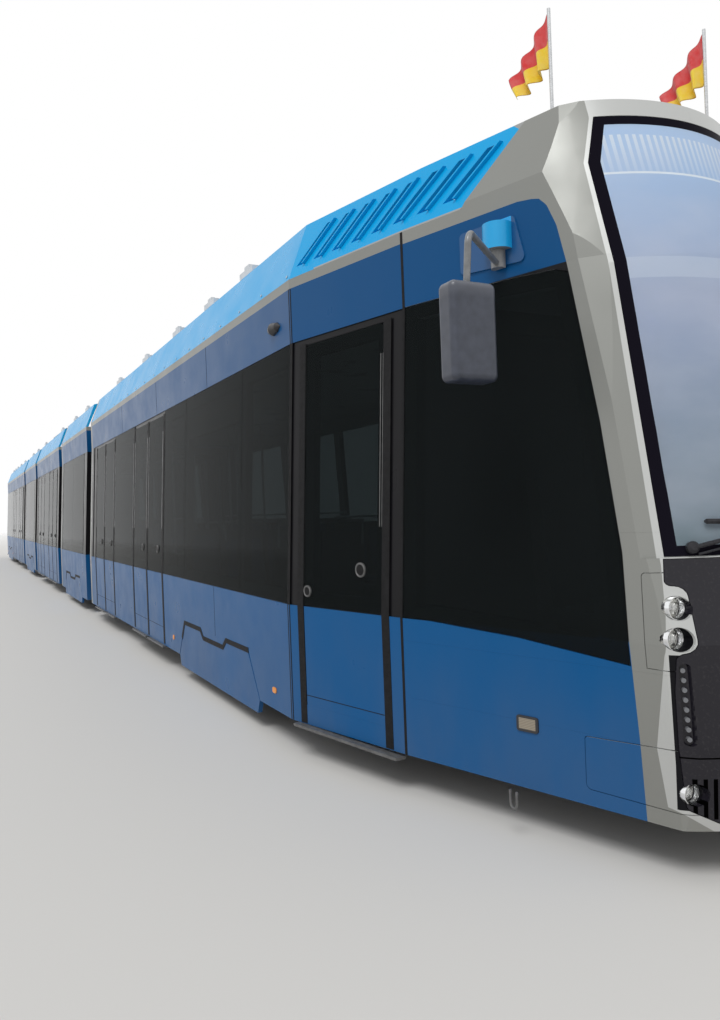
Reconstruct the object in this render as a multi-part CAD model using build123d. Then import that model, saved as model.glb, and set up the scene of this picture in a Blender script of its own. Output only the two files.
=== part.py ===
# A low-floor articulated tram of five sections on four bogies, in millimetres.
# Front is +X, the doors are on the right side (-Y), +Z is up.
# Every section is drawn from the rail top and raised by the flange depth when it is written,
# so that the flanges' lowest points are at z = 0.
import os
from math import asin, cos, radians, sin, tan

from build123d import *

# Heights above the rail top
skirt_z = 180.0
floor_under = 200.0
floor_z = 350.0
waist_z = 872.0
glass_top_z = 2446.0
ceiling_z = 2480.0
gutter_z = 2832.0
fairing_top_z = 3180.0

# Widths
half_width = 1200.0
side_lean = 0.052          # how far the glass band leans in, per millimetre of height
fairing_lean = 0.38
wall = 60.0
pane = 8.0                 # thickness of a bonded pane
pane_seat = 0.3            # bond line behind a pane
seam = 5.0                 # gap between neighbouring panels
seat_gap = 0.3             # gap between separate pieces that sit on each other

# Lengths along the train
nose_length = 2512.0
head_length = 7700.0       # flat part of a head section, from the kink to its end portal
gap_length = 450.0
middle_length = 4400.0
portal_depth = 240.0
frame_strip = 40.0         # plain strip between an end portal and the first window

# Running gear
gauge = 1435.0
wheel_r = 300.0
flange_depth = 25.0
wheel_tread = 100.0
axle_r = 60.0
wheelbase = 1800.0
bogie_head_x = -1600.0     # bogie centre behind the kink
cover_drop = 92.0          # how far a bogie cover hangs below the skirt
bearing_gap = 0.5
well_half = wheelbase / 2 + wheel_r + 90.0      # inside of a wheel box, measured from the bogie's centre
well_wall = 15.0
short_length = 2 * (well_half + well_wall + seam + portal_depth)      # a wheel box with a portal at each end
kink_x = middle_length / 2 + gap_length + short_length + gap_length + head_length

# Nose in plan: door module, then the cab
module_length = 956.0
module_end_half = 975.0
cab_angle = 16.2

# Corner line of the cab: height, x of the corner, lean of the side there
NOSE_CORNERS = [
    (skirt_z, 2310.0, 0.0),
    (500.0, 2290.0, 0.0),
    (waist_z, 2270.0, 0.0),
    (1200.0, 2212.0, side_lean * (1200.0 - waist_z)),
    (glass_top_z, 1910.0, side_lean * (glass_top_z - waist_z)),
    (2860.0, 1842.0, side_lean * (glass_top_z - waist_z)),
    (3170.0, 1755.0, 195.0),
]
chamfer_angle = 25.0
# The front's profile on the centre line: a turned surface below the screen's lower edge, another above
LOW_FRONT = [(skirt_z, 2505.0), (500.0, nose_length), (waist_z, 2487.0), (1200.0, 2425.0)]
HIGH_FRONT = [(1200.0, 2421.0), (glass_top_z, 2178.0), (3170.0, 1976.0)]
front_axis_x = 1525.0      # both surfaces turn about axes that meet here, at the screen's lower edge
high_front_tilt = 12.9
split_z = 1200.0

# Doors of a head section: rear edge, front edge of each leaf, measured from the kink
HEAD_LEAVES = [(-3889.0, -3205.0), (-4580.0, -3889.0), (-6489.0, -5795.0), (-7180.0, -6489.0)]
HEAD_WINDOWS = [(-900.0, 0.0), (-2400.0, -900.0), (-3185.0, -2400.0), (-5775.0, -4600.0)]
HEAD_WINDOWS_LEFT = [(-900.0, 0.0), (-2400.0, -900.0), (-3900.0, -2400.0),
                     (-5600.0, -3900.0), (-7370.0, -5600.0)]
CAB_LEAF = (150.0, 840.0)
door_sill_z = 300.0
door_head_z = 2405.0
door_thickness = 45.0
opening_inset = 75.0
opening_sill = 960.0
opening_head = 2330.0

taper = (half_width - module_end_half) / module_length
cab_tan = tan(radians(cab_angle))
cab_cos = cos(radians(cab_angle))


def skin(z):
    """Half width of the body's side at a height."""
    return half_width - side_lean * (min(max(z, waist_z), glass_top_z) - waist_z)


def solids_of(shape):
    return list(shape.solids())


def yz_face(points, x):
    plane = Plane(origin=(x, 0, 0), x_dir=(0, 1, 0), z_dir=(1, 0, 0))
    return plane * make_face(Polyline(*points, close=True))


def along_x(points, x0, x1, slide=0.0):
    """A prism with a YZ outline; slide moves its far end sideways."""
    return Solid.extrude(yz_face(points, x0).face(), Vector(x1 - x0, slide, 0))


def along_y(points, y0, y1):
    plane = Plane(origin=(0, y1, 0), x_dir=(1, 0, 0), z_dir=(0, -1, 0))
    face = (plane * make_face(Polyline(*points, close=True))).face()
    return Solid.extrude(face, Vector(0, y0 - y1, 0))


def along_z(points, z0, z1):
    face = (Plane.XY.offset(z0) * make_face(Polyline(*points, close=True))).face()
    return Solid.extrude(face, Vector(0, 0, z1 - z0))


def block(x0, x1, y0, y1, z0, z1):
    return Pos((x0 + x1) / 2, (y0 + y1) / 2, (z0 + z1) / 2) * Box(x1 - x0, y1 - y0, z1 - z0)


def rod(start, end, radius):
    start, end = Vector(*start), Vector(*end)
    plane = Plane(origin=start, z_dir=(end - start))
    return plane * Cylinder(radius, (end - start).length, align=(Align.CENTER, Align.CENTER, Align.MIN))


def side_zone(side, x0, x1, z0, z1, outer, inner, slope=0.0):
    """A slab that follows the side's skin, from outer to inner depth below it.

    The slope is how fast the side turns in towards the nose, measured from the kink at x = 0."""
    heights = [z0] + [z for z in (waist_z, glass_top_z) if z0 < z < z1] + [z1]
    shift = slope * x0
    points = [(side * (skin(z) - outer - shift), z) for z in heights]
    points += [(side * (skin(z) - inner - shift), z) for z in reversed(heights)]
    return along_x(points, x0, x1, -side * slope * (x1 - x0))


def cut_windows(body, side, windows, slope=0.0):
    for x0, x1 in windows:
        body -= side_zone(side, x0 + opening_inset, x1 - opening_inset, opening_sill, opening_head,
                          -20.0, wall + 20.0, slope)
    return body


def side_wall(side, x0, x1, windows, leaves, covers=(), slope=0.0):
    """One side wall, with a step for the bonded glass band, window openings and door openings."""
    body = side_zone(side, x0, x1, skirt_z, gutter_z, 0.0, wall, slope)
    body -= side_zone(side, x0 - 1, x1 + 1, waist_z, glass_top_z, -5.0, pane + pane_seat, slope)
    body = cut_windows(body, side, windows, slope)
    for first, last in leaves:
        body -= side_zone(side, first - seam, last + seam, door_sill_z - seam, door_head_z + seam,
                          -20.0, wall + 20.0, slope)
    for centre in covers:
        body -= cover_outline(side, centre, cover_gap, -20.0, wall + 20.0)
    return body


def panes(side, windows, slope=0.0):
    return [side_zone(side, x0 + seam / 2, x1 - seam / 2, waist_z + seam, glass_top_z - seam, 0.0, pane, slope)
            for x0, x1 in windows]


def door_leaf(side, x0, x1, slope=0.0):
    """A plug door's leaf, closed: frame and lower panel, with its pane beside it."""
    x0, x1 = x0 + seam / 2, x1 - seam / 2
    frame = side_zone(side, x0, x1, door_sill_z - seam + seat_gap, door_head_z, 0.0, door_thickness, slope)
    frame -= side_zone(side, x0 - 1, x1 + 1, waist_z, door_head_z + 10, -5.0, pane + pane_seat, slope)
    frame -= side_zone(side, x0 + opening_inset, x1 - opening_inset, opening_sill, opening_head,
                       -20.0, wall + 20.0, slope)
    glass = side_zone(side, x0, x1, waist_z + seam, door_head_z, 0.0, pane, slope)
    return frame, glass


# Bogie cover: a flat-topped trapezium with a notch, hanging below the skirt
cover_bottom = 1030.0
cover_top = 825.0
cover_notch = 325.0
cover_top_z = 480.0
cover_notch_z = 420.0
cover_gap = 12.0
cover_t = 30.0


def cover_outline(side, centre, grow, outer, inner):
    low = skirt_z - cover_drop if grow == 0 else skirt_z - 40
    slope = (cover_bottom - cover_top) / (cover_top_z - skirt_z)
    low_half = cover_bottom - slope * (low - skirt_z) if grow else cover_bottom - 40
    half = [(low_half + grow, low)]
    if not grow:
        half.append((cover_bottom, skirt_z))
    half += [(cover_top + grow, cover_top_z + grow), (cover_notch - grow, cover_top_z + grow),
             (cover_notch - 40 - grow, cover_notch_z + grow)]
    points = [(centre + x, z) for x, z in half] + [(centre - x, z) for x, z in reversed(half)]
    y0, y1 = sorted((side * (half_width - outer), side * (half_width - inner)))
    return along_y(points, y0, y1)


def bogie_covers(centre):
    """Both covers over a bogie, each hung on two brackets that reach the wheel well's side."""
    covers = []
    for side in (-1, 1):
        cover = cover_outline(side, centre, 0, 0.0, cover_t)
        reach = sorted((side * (inner_half + seat_gap), side * (half_width - cover_t + 1)))
        for x in (-600.0, 600.0):
            cover += block(centre + x - 40, centre + x + 40, *reach, 260, 340)
        covers.append(cover)
    return covers


def portal(x0, x1):
    """The frame round a section's end: two posts, the lintel, and two sills beside the pivot's arm."""
    made = [block(x0, x1, seat_gap - gangway_half, gangway_half - seat_gap, gangway_top, gutter_z)]
    for side in (-1, 1):
        outer = [(side * skin(z), z) for z in (skirt_z, waist_z, glass_top_z, gutter_z)]
        made.append(along_x([(side * gangway_half, skirt_z)] + outer + [(side * gangway_half, gutter_z)], x0, x1))
        across = sorted((side * (arm_half + seam), side * (gangway_half - seat_gap)))
        made.append(block(x0, x1, *across, skirt_z, sill_z))
    return made


gangway_half = 760.0
gangway_top = 2350.0
sill_z = 295.0
threshold_depth = 385.0    # the end plate reaches this far in from a section's end
turntable_r = 600.0
turntable_t = 40.0
pivot_r = 39.0
arm_half = 180.0
arm_low, arm_top = 182.0, 230.0    # heights of the bored arm
bracket_low = 236.0                # underside of the bracket that carries the turntable
bracket_reach = 150.0

# Floor over a bogie
aisle_half = 400.0
raised_z = 450.0
aisle_t = 50.0
well_skin = 10.0
well_top = 660.0
podium_top = 690.0
centre_pin_r = 60.0
centre_pin_z = 245.0     # lower end of the bogie's centre pin
inner_half = half_width - wall - seat_gap


def both_sides(points):
    """A plan closed by its own mirror image across the train's centre line."""
    return points + [(x, -y) for x, y in reversed(points)]


def wheel_box(centre):
    """The raised floor over a bogie: aisle plate, a wheel housing on each side and the bogie's centre pin."""
    long = well_half + well_wall
    ends = ((centre - long, centre - well_half), (centre + well_half, centre + long))
    under = raised_z - aisle_t
    made = [block(centre - long, centre + long, -aisle_half, aisle_half, under, raised_z)]
    made += [block(*end, -aisle_half, aisle_half, floor_z + seat_gap, under - seat_gap) for end in ends]
    made.append(Pos(centre, 0, (under - seat_gap + centre_pin_z) / 2)
                * Cylinder(centre_pin_r, under - seat_gap - centre_pin_z))
    for side in (-1, 1):
        plates = [((centre - long, centre + long), aisle_half, inner_half, well_top, podium_top),
                  ((centre - long, centre + long), aisle_half + seat_gap, aisle_half + well_wall, under,
                   well_top - seat_gap),
                  ((centre - well_half, centre + well_half), inner_half - well_skin, inner_half, floor_under,
                   well_top - seat_gap)]
        plates += [(end, aisle_half + well_wall + seat_gap, inner_half, floor_z + seat_gap, well_top - seat_gap)
                   for end in ends]
        for (x0, x1), near, far, z0, z1 in plates:
            made.append(block(x0, x1, *sorted((side * near, side * far)), z0, z1))
    return made


def floor_end(pivot_x, towards, kind, depth):
    """One end of a floor, down to a depth. The pivot lies outside it, on the side that towards points to.

    Kind +1 carries the turntable and the pin, -1 carries the bored arm and has a recess for the turntable."""
    end_x = pivot_x - towards * gap_length / 2
    inside = portal_depth + seam

    def span(near, far):
        return sorted((end_x - towards * near, end_x - towards * far))

    neck = gangway_half - seam
    plate = [(0.0, neck), (min(inside, depth), neck)]
    if depth > inside:
        plate += [(inside, inner_half), (depth, inner_half)]
    plate = along_z(both_sides([(end_x - towards * u, y) for u, y in plate]), sill_z + seat_gap, floor_z)
    play = seat_gap if kind > 0 else seam
    disc_z = floor_z - turntable_t / 2
    plate -= Pos(pivot_x, 0, disc_z) * Cylinder(turntable_r + play, turntable_t + 2 * play)
    made = [plate, block(*span(0.0, inside - seat_gap), -arm_half, arm_half, floor_under, sill_z)]
    if depth > inside:
        made.append(block(*span(inside, depth), -inner_half, inner_half, floor_under, sill_z))
    if kind > 0:
        under = floor_z - turntable_t - seat_gap
        made.append(Pos(pivot_x, 0, disc_z) * Cylinder(turntable_r, turntable_t))
        made.append(Pos(pivot_x, 0, (arm_low + under) / 2) * Cylinder(pivot_r, under - arm_low))
        made.append(block(*span(-bracket_reach, -seat_gap), -arm_half, arm_half, bracket_low, under))
    else:
        arm = block(*sorted((pivot_x, end_x + towards * seat_gap)), -arm_half, arm_half, arm_low, arm_top)
        arm += Pos(pivot_x, 0, (arm_low + arm_top) / 2) * Cylinder(arm_half, arm_top - arm_low)
        made.append(arm - Pos(pivot_x, 0, arm_low) * Cylinder(pivot_r + bearing_gap, 200))
    return made


def floor_parts(outline, bogie_x, pivots):
    """A section's floor: slabs between the bogies, the boxes over them, and an end for each pivot."""
    made = [part for x in bogie_x for part in wheel_box(x)]
    for pivot in pivots:
        made += floor_end(*pivot)
    if outline:
        slab = along_z(outline, floor_under, floor_z)
        for x in bogie_x:
            slab -= block(x - well_half - seat_gap, x + well_half + seat_gap, -half_width, half_width, 0, floor_z + 1)
        made += solids_of(slab)
    return made


def fairing_points(side, shift=0.0, thickness=35.0):
    top = skin(gutter_z) - fairing_lean * (fairing_top_z - gutter_z)
    base = skin(gutter_z)
    z0, z1 = gutter_z + seat_gap, fairing_top_z
    return [(side * (base - shift), z0), (side * (top - shift), z1),
            (side * (top - 60 - shift), z1 + 12), (side * (top - 60 - shift), z1 - thickness),
            (side * (top - thickness - shift), z1 - thickness), (side * (base - thickness - shift), z0)]


# Nose

def nose_plan(corner, inset, rear):
    """The cab's plan at one height: straight sides, then chamfers that meet ahead of the front."""
    z, corner_x, lean = corner
    side_turn, front_turn = radians(cab_angle), radians(cab_angle + chamfer_angle)
    side_n = Vector(sin(side_turn), cos(side_turn))
    front_n = Vector(sin(front_turn), cos(front_turn))
    edge = Vector(corner_x, module_end_half - (corner_x - module_length) * cab_tan - lean)
    edge -= (side_n + front_n) * (inset / (1 + side_n.dot(front_n)))
    rear_y = edge.Y + (edge.X - rear) * cab_tan
    tip_x = edge.X + edge.Y / tan(front_turn)
    return [(rear, -rear_y, z), (edge.X, -edge.Y, z), (tip_x, 0, z), (edge.X, edge.Y, z), (rear, rear_y, z)]


def flat_face(points):
    return Face(Wire.make_polygon([Vector(*p) for p in points], close=True))


def nose_wedge(inset, rear):
    """The cab's flat sides and corner chamfers as one closed body."""
    rings = [nose_plan(corner, inset, rear) for corner in NOSE_CORNERS]
    faces = [flat_face(rings[0]), flat_face(rings[-1])]
    for low, high in zip(rings, rings[1:]):
        for i in range(5):
            j = (i + 1) % 5
            faces.append(flat_face([low[i], low[j], high[j], high[i]]))
    return Solid(Shell(faces))


def turned_front(inset):
    """The front's bulge: two bodies turned about axes inside the cab, stacked at the screen's lower edge."""
    low = [(front_axis_x, skirt_z)] + [(x - inset, z) for z, x in LOW_FRONT] + [(front_axis_x, split_z)]
    lower = revolve(Plane.XZ * make_face(Polyline(*low, close=True)), Axis((front_axis_x, 0, 0), (0, 0, 1)))
    lean = tan(radians(high_front_tilt))
    start, middle, end = [(x - inset, z) for z, x in HIGH_FRONT]
    bottom = (start[0] + 400.0 * (start[0] - middle[0]) / (middle[1] - start[1]), start[1] - 400.0)
    top = (end[0] - 200.0 * (middle[0] - end[0]) / (end[1] - middle[1]), end[1] + 200.0)
    axis_low = (front_axis_x + lean * 400.0, split_z - 400.0)
    axis_high = (front_axis_x - lean * 2200.0, split_z + 2200.0)
    outline = make_face(Polyline(axis_low, bottom, middle, top, axis_high, close=True))
    upper = revolve(Plane.XZ * outline, Axis((front_axis_x, 0, split_z), (-lean, 0, 1)))
    return lower, upper


def nose_body(inset, rear=module_length + 3.0):
    wedge = nose_wedge(inset, rear)
    lower, upper = turned_front(inset)
    far = nose_length + 400.0
    lower_part = wedge & (lower + block(0, front_axis_x, -1500, 1500, skirt_z - 1, split_z + 1))
    lower_part &= block(0, far, -1500, 1500, skirt_z - 1, split_z)
    behind = block(0, 1350.0, -1500, 1500, split_z - 1, 3400)
    upper_part = (wedge & block(0, far, -1500, 1500, split_z, 3400)) & (upper + behind)
    return lower_part + upper_part


SCREEN = [(-535.0, 1205.0), (535.0, 1205.0), (520.0, 2446.0), (515.0, 2870.0), (455.0, 3085.0),
          (-455.0, 3085.0), (-515.0, 2870.0), (-520.0, 2446.0)]
# The mask's left half: across, height, corner radius. The silver tab round the headlamps cuts into it.
MASK_HALF = [(548.0, 1195.0, 0.0), (562.0, 1098.0, 16.0), (498.0, 1092.0, 40.0), (498.0, 846.0, 50.0),
             (566.0, 838.0, 24.0), (575.0, 700.0, 0.0), (575.0, 490.0, 0.0), (566.0, 262.0, 20.0), (440.0, 196.0, 0.0)]
LED_RECESS = [(532.0, 498.0, 15.0), (532.0, 806.0, 15.0), (564.0, 806.0, 15.0), (564.0, 498.0, 15.0)]
# Fine seams of the nose's flaps, as outlines seen from the side: distance from the kink, height, corner radius
FLAPS = [[(1928.0, 246.0, 24.0), (1928.0, 466.0, 14.0), (2600.0, 492.0, 0.0), (2600.0, 236.0, 0.0)],
         [(2197.0, 776.0, 0.0), (2176.0, 1146.0, 16.0), (2600.0, 1150.0, 0.0), (2600.0, 766.0, 0.0)]]
groove_w = 3.5
groove_t = 6.0
CAB_WINDOW = [(module_length + 10, waist_z + 3), (1130.0, waist_z + 3), (1630.0, 842.0), (2133.0, 780.0),
              (2098.0, 1220.0), (2004.0, 1757.0), (1863.0, 2402.0), (1800.0, 2425.0), (1530.0, 2440.0),
              (module_length + 10, glass_top_z)]


def rounded(corners, steps=4):
    """A closed outline from corners (across, height, radius), each rounded by short straight steps."""
    points = []
    for i, (u, v, radius) in enumerate(corners):
        here = Vector(u, v)
        before = (Vector(*corners[i - 1][:2]) - here).normalized()
        after = (Vector(*corners[(i + 1) % len(corners)][:2]) - here).normalized()
        half = radians(before.get_angle(after) / 2)
        start, end = here + before * (radius / tan(half)), here + after * (radius / tan(half))
        centre = here + (before + after).normalized() * (radius / sin(half))
        for k in range(steps + 1):
            towards = start + (end - start) * (k / steps) - centre
            place = centre + towards * (radius / towards.length) if radius else here
            if radius or k == 0:
                points.append((place.X, place.Y))
    return points


def shrink(points, amount):
    """A polygon with every side moved inwards by an amount, or outwards if it is negative."""
    small = offset(make_face(Polyline(*points, close=True)), -amount, kind=Kind.INTERSECTION)
    edges = small.face().outer_wire().order_edges()
    return [(edge.position_at(0).X, edge.position_at(0).Y) for edge in edges]


cap_foot_x = 1330.0        # where the cap's rear edge leaves the gutter
cap_top_x = 1588.0         # where it reaches the roof
cap_top_z = 3170.0
deck_t = 60.0
front_of = 1500.0          # everything that is cut through the front lies ahead of this


def slant_prism(ahead, y_half=1500.0):
    """What lies above the deck and behind the cap's slanting rear edge."""
    rise = cap_top_z + 200.0
    run = cap_foot_x + (cap_top_x - cap_foot_x) * (rise - gutter_z) / (cap_top_z - gutter_z)
    points = [(module_length - 60.0, gutter_z), (cap_foot_x + ahead, gutter_z), (run + ahead, rise),
              (module_length - 60.0, rise)]
    return along_y(points, -y_half, y_half)


def nose_parts():
    """Cab shell, its panes and the black front mask."""
    outer = nose_body(0.0)
    inner = nose_body(wall, rear=module_length - 5.0)
    inner -= block(0, 3000, -2000, 2000, cap_top_z - wall, 4000)
    inner -= Pos(deck_t, 0, -deck_t) * slant_prism(0.0)
    shell = outer - inner - slant_prism(0.0)
    pane_back, pane_hollow = nose_body(pane), nose_body(pane + pane_seat)
    mask_back, mask_hollow = nose_body(mask_t), nose_body(mask_t + pane_seat)
    far = nose_length + 200.0

    glass = [(outer - pane_back) & along_x(SCREEN, front_of, far)]
    shell -= (outer - pane_hollow) & along_x(shrink(SCREEN, -3.0), front_of, far)
    shell -= along_x(shrink(SCREEN, 45.0), front_of, far)
    mask_outline = rounded(MASK_HALF + [(-y, z, r) for y, z, r in reversed(MASK_HALF)])
    mask = (outer - mask_back) & along_x(mask_outline, front_of, far)
    shell -= (outer - mask_hollow) & along_x(shrink(mask_outline, -3.0), front_of, far)
    recess = outer - nose_body(led_depth)
    for side in (-1, 1):
        mask -= recess & along_x([(side * y, z) for y, z in rounded(LED_RECESS)], front_of, far)
    mask -= [block(front_of, far, y - grille_slot / 2, y + grille_slot / 2, grille_low, grille_top)
             for y in [grille_pitch * i for i in range(-grille_count, grille_count + 1)]]
    skin_cut = outer - nose_body(groove_t)
    for flap in FLAPS:
        outline = rounded(flap)
        shell -= skin_cut & (along_y(outline, -1500, 1500) - along_y(shrink(outline, groove_w), -1501, 1501))
    for side in (-1, 1):
        y0, y1 = sorted((side * 300.0, side * 1300.0))
        glass.append((outer - pane_back) & along_y(CAB_WINDOW, y0, y1))
        shell -= (outer - pane_hollow) & along_y(shrink(CAB_WINDOW, -3.0), y0, y1)
        shell -= along_y(shrink(CAB_WINDOW, 70.0), y0, y1)
    for name, y, z, x0, x1, radius in LAMPS:
        for side in (-1, 1):
            hole = Pos((x0 + x1) / 2, side * y, z) * Rot(0, 90, 0) * Cylinder(radius + seat_gap, x1 - x0 + 400)
            mask -= hole
            shell -= hole
    return nose_rings(shell), glass, mask


mask_t = 30.0

# Vertical slots of the lower grille, on both sides of the centre line
grille_slot = 14.0
grille_pitch = 32.0
grille_count = 14
grille_low, grille_top = 232.0, 372.0

nose_joints = (475.0, 760.0, 1300.0, glass_top_z)      # heights where the nose is parted


def nose_rings(shell):
    """The nose's panels: parted at a few heights and along the centre line, behind the mask and over the screen."""
    shell -= block(0, nose_length + 100, -seat_gap / 2, seat_gap / 2, 0, 4000)
    for z in nose_joints:
        shell -= block(0, nose_length + 100, -2000, 2000, z - seat_gap / 2, z + seat_gap / 2)
    return solids_of(shell)

# name, y, height, rear x, front x, radius of each round lamp
LAMPS = [("upper headlamp", 540.0, 1011.0, 2140.0, 2250.0, 46.0),
         ("lower headlamp", 552.0, 894.0, 2140.0, 2250.0, 46.0),
         ("fog lamp", 540.0, 316.0, 2180.0, 2290.0, 42.0)]
led_y = 548.0
led_heights = [524.0 + 36.5 * i for i in range(8)]
led_depth = 14.0
led_r = 9.0
# Side lamps as thin plates on the skin: outline from the side
MARKER = [(1612.0, 430.0, 12.0), (1612.0, 500.0, 12.0), (1718.0, 500.0, 12.0), (1718.0, 430.0, 12.0)]
marker_t = 6.0
SIDE_MARKERS = [(-310.0, -250.0, 286.0, 322.0), (-2854.0, -2810.0, 286.0, 328.0)]


def front_point(y, z, inset):
    """A point on the front's lower bulge, or below it, and the direction that it faces."""
    heights = [height for height, x in LOW_FRONT]
    i = max(k for k in range(len(heights) - 1) if heights[k] <= z)
    (z0, x0), (z1, x1) = LOW_FRONT[i], LOW_FRONT[i + 1]
    radius = x0 + (x1 - x0) * (z - z0) / (z1 - z0) - inset - front_axis_x
    turn = asin(y / radius)
    return Vector(front_axis_x + radius * cos(turn), y, z), Vector(cos(turn), sin(turn), 0)


def lamps():
    """Round lamps: a bowl with its lens, one on each side. Then the rows of day lights and the side markers."""
    made = []
    for name, y, z, x0, x1, radius in LAMPS:
        depth = x1 - x0
        bowl = [(0, 0), (radius, 0), (radius, depth), (radius - 4, depth), (radius * 0.4, depth * 0.4),
                (0, depth * 0.3)]
        lens = [(0, depth + seat_gap), (radius, depth + seat_gap), (radius, depth + 4), (radius * 0.5, depth + 11),
                (0, depth + 13)]
        for side in (-1, 1):
            for outline in (bowl, lens):
                turned = revolve(Plane.XZ * make_face(Polyline(*outline, close=True)), Axis.Z)
                made.append(Pos(x0, side * y, z) * Rot(0, 90, 0) * turned)
    marker = nose_body(-marker_t) - nose_body(-seat_gap)
    bed = nose_body(led_depth - seat_gap)
    for side in (-1, 1):
        for z in led_heights:
            foot, out = front_point(side * led_y, z, led_depth)
            made.append(rod(foot - out * led_depth, foot + out * (led_depth - 3), led_r) - bed)
        made.append(marker & along_y(rounded(MARKER), *sorted((side * 300.0, side * 1300.0))))
        for x0, x1, z0, z1 in SIDE_MARKERS:
            plate = [(x0, z0, 14.0), (x0, z1, 14.0), (x1, z1, 14.0), (x1, z0, 14.0)]
            made.append(along_y(rounded(plate), *sorted((side * (half_width + seat_gap), side * (half_width + marker_t)))))
    return made


def cab_interior():
    """Driver's desk, seat, destination box and the wall behind the cab."""
    desk = along_y([(1780, 350.3), (2120, 350.3), (2150, 1080), (2000, 1120), (1760, 1060), (1740, 1010), (1780, 1000)],
                   -470, 470)
    seat = along_y([(1180, 800), (1650, 800), (1660, 880), (1260, 890), (1160, 1560), (1070, 1560), (1130, 860)],
                   -240, 240)
    post = block(1300, 1480, -90, 90, 350.3, 800)
    sign = block(1640, 1700, -430, 430, 2520, 2800)
    for y in (-300.0, 300.0):
        sign += block(1655, 1685, y - 20, y + 20, 2790, cap_top_z - wall - seat_gap)
    wall_half = module_end_half - wall / cab_cos - seat_gap - 45 * cab_tan
    back = along_x([(-wall_half, 350.3), (wall_half, 350.3), (wall_half - 82, ceiling_z - seam),
                    (-wall_half + 82, ceiling_z - seam)], module_length + 12, module_length + 42)
    back -= block(module_length, module_length + 60, -250, 250, 355.3, 2350)
    door = block(module_length + 14, module_length + 38, -247, 247, 355.6, 2347)
    return [desk, seat + post, sign, back, door]


# Mirrors: hatch plate on the upper panel, motor housing, bent tube and mirror head
HATCH = [(1322.0, 2520.0, 20.0), (1322.0, 2712.0, 20.0), (1618.0, 2716.0, 24.0), (1672.0, 2500.0, 24.0)]
hatch_t = 8.0
motor_x, motor_y = 1545.0, 744.0
motor_r = 68.0
motor_z = (2572.0, 2690.0)
clamp_r = 34.0
clamp_z = 2492.0
tube_r = 14.0
mirror_x, mirror_y, mirror_z = 1857.0, 1150.0, 2105.0
mirror_w, mirror_h, mirror_t = 215.0, 390.0, 110.0
pod_x, pod_z = -330.0, 2590.0      # side camera over the first window
pod_l, pod_r = 170.0, 42.0


def mirrors():
    """Rear-view mirrors on both sides, and the door camera on the right."""
    made = []
    plate, body = nose_body(-hatch_t), nose_body(-seat_gap)
    over = nose_body(-hatch_t - seat_gap)
    for side in (-1, 1):
        made.append((plate - body) & along_y(rounded(HATCH), *sorted((side * 300.0, side * 1300.0))))
        motor = Pos(motor_x, side * motor_y, sum(motor_z) / 2) * Cylinder(motor_r, motor_z[1] - motor_z[0])
        made.append(motor - over)
        start = (motor_x + 12, side * (motor_y + 20), clamp_z + 22)
        path = [start, (mirror_x + 24, side * mirror_y, 2500.0),
                (mirror_x, side * mirror_y, mirror_z + mirror_h / 2 - 10)]
        tube = sweep(Plane(origin=start, z_dir=Vector(*path[1]) - Vector(*start)) * Circle(tube_r),
                     FilletPolyline(*path, radius=50.0))
        clamp_top = motor_z[0] - seat_gap
        clamp = Pos(motor_x, side * motor_y, (clamp_z + clamp_top) / 2) * Cylinder(clamp_r, clamp_top - clamp_z)
        head = fillet(Box(mirror_t, mirror_w, mirror_h).edges(), 28)
        made.append((clamp + tube - over) + Pos(mirror_x, side * mirror_y, mirror_z) * head)
    drop = [(0, 0), (pod_r * 0.75, pod_l * 0.12), (pod_r, pod_l * 0.35), (pod_r * 0.7, pod_l * 0.75), (0, pod_l)]
    pod = revolve(Plane.XZ * make_face(Polyline(*drop, close=True)), Axis.Z)
    skin_y = skin(gutter_z)
    pod = Pos(pod_x, -skin_y, pod_z) * Rot(0, 90, 0) * pod
    made.append(pod & block(pod_x - 1, pod_x + pod_l + 1, -skin_y - 100, -skin_y - seat_gap, pod_z - 100, pod_z + 100))
    return made


def fairing_run(side, shift=0.0):
    """One side's roof fairing of a head section, round the kink and up to the cap; shift moves it inwards."""
    flat = along_x(fairing_points(side, shift), -head_length, 0)
    module = along_x(fairing_points(side, shift), 0, module_length, -side * (half_width - module_end_half))
    reach = cap_top_x + 100.0 - module_length
    cab = along_x(fairing_points(side, half_width - module_end_half + shift), module_length, module_length + reach,
                  -side * reach * cab_tan)
    behind = slant_prism(-seam, 1500.0)
    return flat + module + (cab & behind)


louvre_count = 8
louvre_start = 40.0
louvre_pitch = 165.0
louvre_width = 75.0
louvre_lean = 190.0
louvre_low, louvre_high = gutter_z + 70.0, fairing_top_z - 60.0
fin_t = 13.0
fin_proud = 20.0


def slanted(side, x, width):
    """A leaning prism through a fairing, from the louvres' foot to their top."""
    return along_y([(x, louvre_low), (x + width, louvre_low), (x + width + louvre_lean, louvre_high),
                    (x + louvre_lean, louvre_high)], *sorted((side * 400.0, side * 1300.0)))


def louvred(side):
    """The fairing with slanting slots beside the cab, and a raised fin along the front edge of each."""
    fairing, proud = fairing_run(side), fairing_run(side, -fin_proud)
    starts = [louvre_start + i * louvre_pitch for i in range(louvre_count)]
    fairing -= [slanted(side, x, louvre_width) for x in starts]
    for x in starts:
        fairing += proud & slanted(side, x + louvre_width, fin_t)
    return fairing


def seat_bench(x, side, base, facing, width=680.0, inner=425.0):
    """A bench of two seats: cushion and back in one outline; facing is +1 or -1."""
    outline = [(0, 0), (430, 0), (440, 80), (70, 90), (-40, 600), (-90, 600), (-30, 80), (-30, 0)]
    points = [(x + facing * px, base + seat_gap + pz) for px, pz in outline]
    return along_y(points, *sorted((side * inner, side * (inner + width))))


def pole(x, y, foot):
    return rod((x, y, foot + seat_gap), (x, y, ceiling_z - seat_gap), 17.0)


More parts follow.
